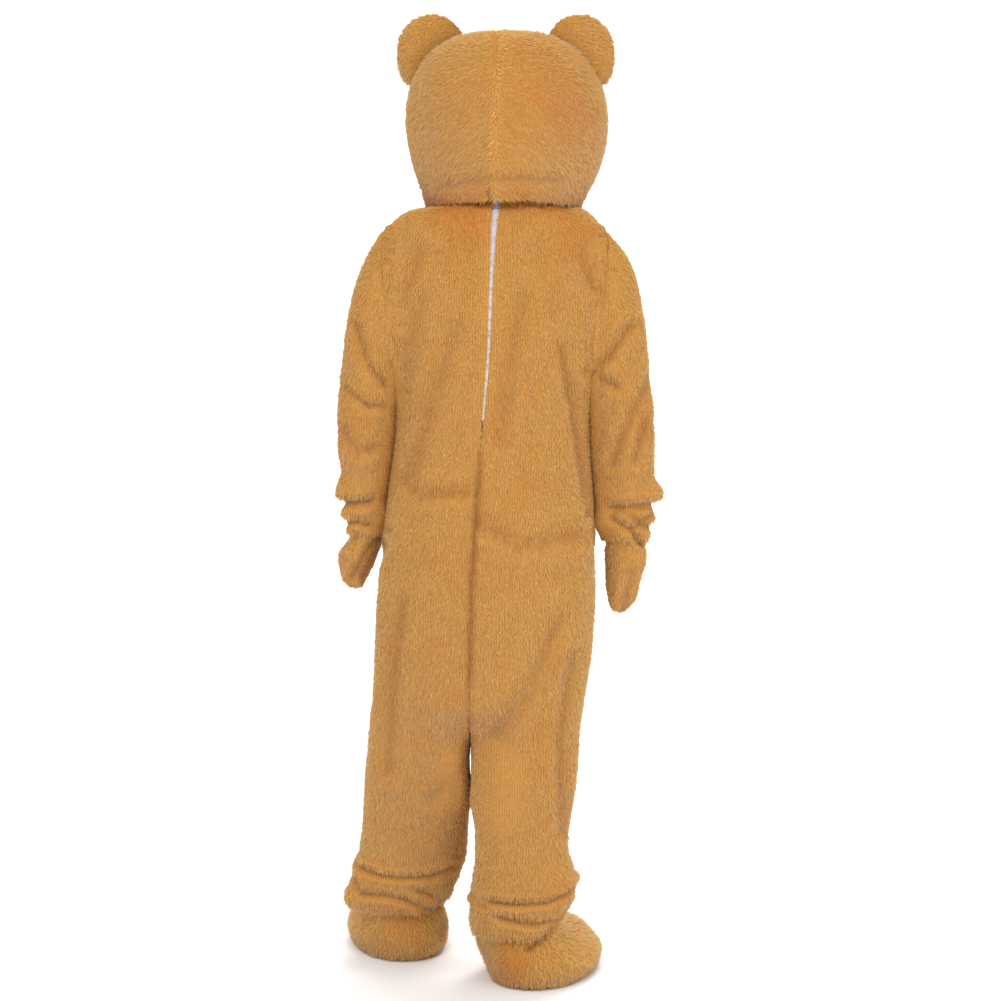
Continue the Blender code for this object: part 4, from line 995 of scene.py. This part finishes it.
# %% Backing and pile for each plush piece
BACKING_THICKNESS = 2.0
CUT_PIECES = [
    # node, pile height, tuft length, tuft width, stand, flat width, flat length, flat area
    ("back_left", 3.4, 10.5, 0.95, 0.42, 0.40, 1.36, 0.37),
    ("back_right", 3.4, 10.5, 0.95, 0.42, 0.42, 1.36, 0.40),
    ("front_left", 3.4, 10.5, 0.95, 0.42, 0.44, 1.36, 0.42),
    ("front_right", 3.4, 10.5, 0.95, 0.42, 0.42, 1.36, 0.37),
    ("sleeve_left", 3.4, 10.5, 0.95, 0.42, 0.46, 0.56, 0.167),
    ("sleeve_right", 3.4, 10.5, 0.95, 0.42, 0.48, 0.58, 0.185),
    ("mitten_left", 2.5, 9.0, 0.95, 0.42, 0.24, 0.20, 0.032),
    ("mitten_right", 2.5, 9.0, 0.95, 0.42, 0.26, 0.24, 0.044),
    ("shoe_upper_left", 3.9, 11.5, 1.15, 0.65, 0.42, 0.46, 0.122),
    ("shoe_upper_right", 3.9, 11.5, 1.15, 0.65, 0.42, 0.46, 0.123),
    ("head_back_left", 3.9, 10.5, 0.95, 0.5, 0.28, 0.42, 0.083),
    ("head_back_right", 3.9, 10.5, 0.95, 0.5, 0.30, 0.44, 0.096),
    ("head_face", 3.9, 10.5, 0.95, 0.5, 0.62, 0.46, 0.209),
]
for number, (node, height, length, width, stand, wide, long, area) in enumerate(CUT_PIECES):
    cloth = backing(node, height, ginger_backing)
    pile = grow_pile(cloth, node, length, width, stand, number + 1, ginger_plush)
    thick = cloth.modifiers.new("cloth thickness", "SOLIDIFY")
    thick.thickness = BACKING_THICKNESS * MM
    thick.offset = -1
    for piece in (cloth, pile):
        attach(piece, "root")
    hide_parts(node)
    print(node, len(cloth.data.polygons), "cloth faces,", len(pile.data.polygons), "pile faces")

# %% [markdown]
# ## Ears and muzzle
# The ears are stuffed plush pads, sewn shut and then sewn to the head. The muzzle is a pad too, of a
# paler plush. They are closed bodies, so the backing keeps the whole form and nothing is opened up.
# Subdivision makes them full and round, as stuffing does, so no cloth simulation is needed.

# %% Ears
for number, node in enumerate(("ear_left", "ear_right")):
    pad = backing(node, 4.0, ginger_backing, whole=True)
    pile = grow_pile(pad, node, 10.5, 1.1, 0.6, number + 31, ginger_plush)
    for piece in (pad, pile):
        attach(piece, "root")
    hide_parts(node)
    print(node, len(pile.data.polygons), "pile faces")

# %% Muzzle
snout = backing("muzzle", 3.0, muzzle_backing, whole=True)
snout_pile = grow_pile(snout, "muzzle", 7.0, 1.0, 0.6, 41, muzzle_plush)
for piece in (snout, snout_pile):
    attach(piece, "root")
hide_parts("muzzle")
print("muzzle", len(snout_pile.data.polygons), "pile faces")

# %% [markdown]
# ## Nose, eyes and mouth
# The photo shows the back alone, so the face is a plain bear's face: a stuffed vinyl nose, two domed
# plastic eyes and a stitched mouth. Each is the guide's own body, made smooth. Vinyl has a fine
# leather grain and a satin gloss, and the eyes are polished black plastic.

# %% Face materials
# Embossed vinyl: leather grain under a satin skin. It gives a soft highlight that the grain breaks up.
nose_vinyl, vinyl_tree, vinyl_shader = new_material("nose_embossed_vinyl", Roughness=0.38,
                                                    Coat_Weight=0.15)
vinyl_shader.inputs["Base Color"].default_value = linear("#2A211C")
GRAIN_SIZE = 0.9
grain = texture(vinyl_tree, "Voronoi", GRAIN_SIZE)
embossed(vinyl_tree, vinyl_shader, grain.outputs["Distance"], 0.5, 0.15)

# Polished ABS, a hard moulded plastic: a small sharp highlight, which makes an eye look alive.
eye_plastic, eye_tree, eye_shader = new_material("eye_polished_black_abs", Roughness=0.08, IOR=1.53,
                                                 Coat_Weight=0.4)
DUST_SIZE = 6
dust = texture(eye_tree, "Noise", DUST_SIZE)
tinted(eye_tree, eye_shader, dust.outputs["Fac"], linear("#130D0A"), linear("#1F1712"))
print("vinyl and plastic ready")

# %% Nose and eyes
def smooth_copy(node, material, levels=2):
    """A guide body made smooth, with its underside moved down to the cloth it is sewn to."""
    piece = placed(node + "_piece", outer_face(node, whole=True), material)
    mesh = smoothed(piece, levels)
    if node in SEWN_ON:
        places = vertex_table(mesh, "co")
        mesh.vertices.foreach_set("co", np.ravel(sewn_on(node, places, places)))
    mesh.shade_smooth()
    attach(piece, "root")
    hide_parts(node)
    return piece


nose = smooth_copy("nose", nose_vinyl)
for node in ("eye_left", "eye_right"):
    smooth_copy(node, eye_plastic)
print("nose and eyes ready")

# %% [markdown]
# ## The stitched mouth
# A mouth on plush is a line of thick thread: down from the nose and out to both sides in an arc. We
# draw it flat, drop each point onto the muzzle and give the curve a round section.

# %% Mouth thread
# Twisted cotton: matt, with a slanting light and dark of its two strands.
thread, thread_tree, thread_shader = new_material("mouth_twisted_cotton", Roughness=0.8)
STRAND_SIZE = 1.6
twist = texture(thread_tree, "Wave", STRAND_SIZE, bands_direction="DIAGONAL")
tinted(thread_tree, thread_shader, twist.outputs["Fac"], linear("#1C1511"), linear("#3B2D24"))
print("thread ready")

# %% Stitch the mouth
MOUTH_THREAD = 3.0
THREAD_STANDS = 0.6
RAY_START = -0.6
MOUTH = [
    # stroke, points (across from the nose's middle, below the nose)
    ("down", [(0, 0), (0, 12), (0, 24)]),
    ("left", [(0, 24), (12, 33), (26, 34), (38, 26)]),
    ("right", [(0, 24), (-12, 33), (-26, 34), (-38, 26)]),
]
nose_low, nose_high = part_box("nose")
muzzle_guide = guide_surface("muzzle")
mouth_curve = bpy.data.curves.new("mouth_line", "CURVE")
mouth_curve.dimensions = "3D"
mouth_curve.bevel_depth = MOUTH_THREAD * MM / 2
mouth_curve.bevel_resolution = 3
mouth_curve.use_fill_caps = True
for stroke, points in MOUTH:
    spline = mouth_curve.splines.new("NURBS")
    spline.points.add(len(points) - 1)
    spline.order_u = min(4, len(points))
    spline.use_endpoint_u = True
    for point, (across, below) in zip(spline.points, points):
        nose_middle = (nose_low.x + nose_high.x) / 2
        start = Vector((nose_middle + across * MM, RAY_START, nose_low.z - below * MM))
        hit = muzzle_guide.ray_cast(start, Vector((0, 1, 0)))[0]
        point.co = (*(hit + Vector((0, THREAD_STANDS * MOUTH_THREAD * MM, 0))), 1.0)
mouth_line = bpy.data.objects.new("mouth_line", mouth_curve)
bpy.context.scene.collection.objects.link(mouth_line)
bpy.context.view_layer.update()
mouth_mesh = bpy.data.meshes.new_from_object(mouth_line.evaluated_get(
    bpy.context.evaluated_depsgraph_get()))
bpy.data.objects.remove(mouth_line)
mouth_mesh.materials.clear()
mouth_mesh.materials.append(thread)
mouth_mesh.shade_smooth()
mouth = bpy.data.objects.new("mouth_stitches", mouth_mesh)
bpy.context.scene.collection.objects.link(mouth)
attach(mouth, "root")
print("mouth", len(mouth_mesh.polygons), "faces")

# %% [markdown]
# ## Soles
# The shoe covers have a flat cloth sole with rows of rubber dots that grip the floor. Its edge is
# turned in under the plush, so we draw the guide's sole a little smaller and round its edge.

# %% Grip cloth
# Matt brown cloth with round rubber dots, 5 mm apart. The dots are darker and stand up a little.
DOT_SPACING = 5.0
DOT_RADIUS, DOT_END = 0.28, 0.36    # shares of the spacing: where the dot's edge begins and ends
sole_cloth, sole_tree, sole_shader = new_material("sole_dotted_grip_cloth", Roughness=0.85)
dots = texture(sole_tree, "Voronoi", DOT_SPACING, Randomness=0.0)
dot_edge = add_node(sole_tree, "ShaderNodeMapRange", [("Value", dots.outputs["Distance"])],
                    From_Min=DOT_RADIUS, From_Max=DOT_END).outputs["Result"]
tinted(sole_tree, sole_shader, dot_edge, linear("#3A2C20"), linear("#8C5E33"))
embossed(sole_tree, sole_shader, dot_edge, 0.6, 0.8, invert=True)
print("grip cloth ready")

# %% Two soles
SOLE_INSET = 14.0
SOLE_ROUND = 2.0
for node in ("shoe_sole_left", "shoe_sole_right"):
    low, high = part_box(node)
    middle = (low + high) / 2
    shape = outer_face(node, whole=True)
    size = high - low
    shrink = Vector((1 - 2 * SOLE_INSET * MM / size.x, 1 - 2 * SOLE_INSET * MM / size.y, 1))
    bmesh.ops.translate(shape, verts=shape.verts, vec=-middle)
    bmesh.ops.scale(shape, verts=shape.verts, vec=shrink)
    bmesh.ops.translate(shape, verts=shape.verts, vec=middle)
    bmesh.ops.dissolve_limit(shape, angle_limit=math.radians(2), verts=shape.verts, edges=shape.edges)
    rims = [edge for edge in shape.edges if edge.calc_face_angle(0) > RIM_ANGLE]
    bmesh.ops.bevel(shape, geom=rims, offset=SOLE_ROUND * MM, segments=3, profile=0.5, affect="EDGES",
                    material=-1)
    sole = placed(node + "_piece", shape, sole_cloth)
    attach(sole, "root")
    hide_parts(node)
    print(node, len(sole.data.polygons), "faces")

# %% [markdown]
# ## The zip
# The zip is white polyester: two woven tapes and a moulded coil. The guide already has the tapes, the
# slider and its pull. The coil's teeth are too many and too small for the guide, so they are made
# here: one small rounded tooth, repeated down both tapes in turn.

# %% Zip materials
# Woven polyester tape: grey white, with fine rows across it that the bump lets you feel.
zip_tape, tape_tree, tape_shader = new_material("zip_woven_polyester_tape", Roughness=0.75,
                                                Sheen_Weight=0.2)
ROW_SIZE = 1.2
weave = texture(tape_tree, "Wave", ROW_SIZE, bands_direction="Z", Distortion=1.0)
tinted(tape_tree, tape_shader, weave.outputs["Fac"], linear("#CFC9CD"), linear("#AFA4A4"))
embossed(tape_tree, tape_shader, weave.outputs["Fac"], 0.4, 0.2)

# Moulded polyester coil: whiter and smoother than the tape, so the line of the teeth catches light.
tooth_plastic, tooth_tree, tooth_shader = new_material("zip_moulded_polyester_coil", Roughness=0.35)
WEAR_SIZE = 14
wear = texture(tooth_tree, "Noise", WEAR_SIZE)
tinted(tooth_tree, tooth_shader, wear.outputs["Fac"], linear("#EDE9EE"), linear("#CBC4CC"))

# Cast aluminium, tumbled and worn by use: a blurred gloss that changes over a millimetre or two.
zip_metal, metal_tree, metal_shader = new_material("zip_cast_aluminium", Metallic=1.0)
SCUFF_SIZE = 1.5
GLOSSY, SCUFFED = 0.25, 0.45    # roughness
scuffs = texture(metal_tree, "Noise", SCUFF_SIZE, Detail=4.0)
scuff_gloss = add_node(metal_tree, "ShaderNodeMapRange", [("Value", scuffs.outputs["Fac"])],
                       To_Min=GLOSSY, To_Max=SCUFFED)
metal_shader.inputs["Base Color"].default_value = linear("#C9CACC")
metal_tree.links.new(scuff_gloss.outputs["Result"], metal_shader.inputs["Roughness"])
for node, material in (("zip_tape_left", zip_tape), ("zip_tape_right", zip_tape),
                       ("zip_slider", zip_metal), ("zip_pull", zip_metal)):
    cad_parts[node].data.materials.clear()
    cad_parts[node].data.materials.append(material)
print("zip materials on 4 guide pieces")

# %% Teeth of the zip
TEETH_PITCH = 2.6
TOOTH_SIZE = (3.4, 2.0, 1.5)
TOOTH_EDGE = 0.4
TOOTH_SIDE = 0.9       # each tooth sits this far to its own side of the zip's line,
TOOTH_STANDS = 0.6     # and this far out from the tape
SAME_FACE = 0.2        # a tape's outer face is uneven by less than this


def zip_line():
    """The line between the two tapes, on their outer face, from the top down."""
    rows = {}
    for node, sign in (("zip_tape_left", 1), ("zip_tape_right", -1)):
        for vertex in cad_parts[node].data.vertices:
            level = round(vertex.co.z / MM)
            key = (level, sign)
            best = rows.get(key)
            if best is None or (vertex.co.y > best.y - SAME_FACE * MM
                                and vertex.co.x * sign < best.x * sign):
                rows[key] = vertex.co.copy()
    levels = sorted({level for level, sign in rows if (level, -sign) in rows}, reverse=True)
    return [(rows[level, 1] + rows[level, -1]) / 2 for level in levels]


line = zip_line()
steps = [(b - a).length for a, b in zip(line[:-1], line[1:])]
teeth = bmesh.new()
bmesh.ops.create_cube(teeth, size=MM)
bmesh.ops.scale(teeth, verts=teeth.verts, vec=TOOTH_SIZE)
bmesh.ops.bevel(teeth, geom=teeth.edges[:], offset=TOOTH_EDGE * MM, segments=1, profile=0.5,
                affect="EDGES", material=-1)
pattern = teeth.verts[:] + teeth.edges[:] + teeth.faces[:]
first = [vertex for vertex in pattern if isinstance(vertex, bmesh.types.BMVert)]
count = int(sum(steps) / (TEETH_PITCH * MM))
for number in range(count):
    reach, index = (number + 0.5) * TEETH_PITCH * MM, 0
    while index < len(steps) - 1 and reach > steps[index]:
        reach -= steps[index]
        index += 1
    place = line[index].lerp(line[index + 1], min(reach / steps[index], 1.0))
    side = TOOTH_SIDE * MM * (1 if number % 2 else -1)
    copied = bmesh.ops.duplicate(teeth, geom=pattern)["geom"]
    bmesh.ops.translate(teeth, verts=[item for item in copied if isinstance(item, bmesh.types.BMVert)],
                        vec=place + Vector((side, TOOTH_STANDS * MM, 0)))
bmesh.ops.delete(teeth, geom=first, context="VERTS")
zip_teeth = placed("zip_teeth", teeth, tooth_plastic)
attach(zip_teeth, "root")
print(count, "teeth on a zip", round(sum(steps) / MM), "mm long")

# %% [markdown]
# ## Floor, light and camera
# The costume stands on a pale floor in the soft light of a studio. The camera is where the
# photo's was: behind the figure, 1.2 m above the floor and 4.5 m away, tilted a little down.

# %% Floor and backdrop
BACKDROP_DISTANCE = 6.5
BACKDROP_BEND = 1.6
BACKDROP_REACH = 12.0
BACKDROP_HEIGHT = 7.0
sweep = bmesh.new()
bmesh.ops.create_grid(sweep, x_segments=1, y_segments=1, size=BACKDROP_REACH)
bmesh.ops.translate(sweep, verts=sweep.verts, vec=(0, BACKDROP_REACH - BACKDROP_DISTANCE, FLOOR))
far_edge = [edge for edge in sweep.edges if all(v.co.y < 0 for v in edge.verts)]
wall = bmesh.ops.extrude_edge_only(sweep, edges=far_edge)["geom"]
bmesh.ops.translate(sweep, verts=[item for item in wall if isinstance(item, bmesh.types.BMVert)],
                    vec=(0, 0, BACKDROP_HEIGHT))
bend = [edge for edge in sweep.edges
        if all(abs(v.co.z - FLOOR) < MM and v.co.y < 0 for v in edge.verts)]
bmesh.ops.bevel(sweep, geom=bend, offset=BACKDROP_BEND, segments=12, profile=0.5, affect="EDGES",
                material=-1)
# Matt white paper, so bright that it and the background are one white, as in the photo.
studio_paper, _, paper_shader = new_material("white_studio_paper", Roughness=0.9)
paper_shader.inputs["Base Color"].default_value = linear("#F6F5F3")
floor = placed("floor", sweep, studio_paper)
print("backdrop", BACKDROP_DISTANCE, "m behind the figure")

# %% Lamps
bpy.context.scene.view_settings.view_transform = "Standard"
world = bpy.data.worlds.new("soft_room")
bpy.context.scene.world = world
world.use_nodes = True
world.node_tree.nodes["Background"].inputs["Color"].default_value = linear("#FBFBFD")
world.node_tree.nodes["Background"].inputs["Strength"].default_value = 0.8

LAMPS = [
    # name, place, aim, size, power
    ("key_lamp", (1.6, 4.2, 2.4), (0, 0, -0.5), 2.4, 120),
    ("fill_lamp", (-2.4, 3.6, -0.1), (0, 0, -0.4), 2.6, 50),
    ("front_lamp", (-1.5, -3.4, 2.6), (0, 0, -0.5), 2.4, 80),
    ("backdrop_lamp", (0, -2.6, 4.2), (0, -6.5, -0.2), 3.0, 320),
]
for name, place, aim, width, power in LAMPS:
    lamp = bpy.data.lights.new(name, "AREA")
    lamp.energy = power
    lamp.size = width
    holder = bpy.data.objects.new(name, lamp)
    holder.location = place
    holder.rotation_euler = (Vector(aim) - Vector(place)).to_track_quat("-Z", "Y").to_euler()
    bpy.context.scene.collection.objects.link(holder)
print(len(LAMPS), "lamps")

# %% Camera
CAMERA_PLACE = (0.0, 4.5, -0.2)
CAMERA_TILT = math.radians(4)
PHOTO_WIDTH = 1001
FOCAL_PIXELS = 2432
SENSOR = 36.0
camera_data = bpy.data.cameras.new("photo_camera")
camera_data.sensor_width = SENSOR
camera_data.lens = FOCAL_PIXELS * SENSOR / PHOTO_WIDTH
camera_data.clip_end = 50.0
camera = bpy.data.objects.new("photo_camera", camera_data)
camera.location = CAMERA_PLACE
camera.rotation_euler = (math.radians(90) - CAMERA_TILT, 0.0, math.radians(180))
bpy.context.scene.collection.objects.link(camera)
bpy.context.scene.camera = camera
print("camera lens", round(camera_data.lens, 1), "mm")
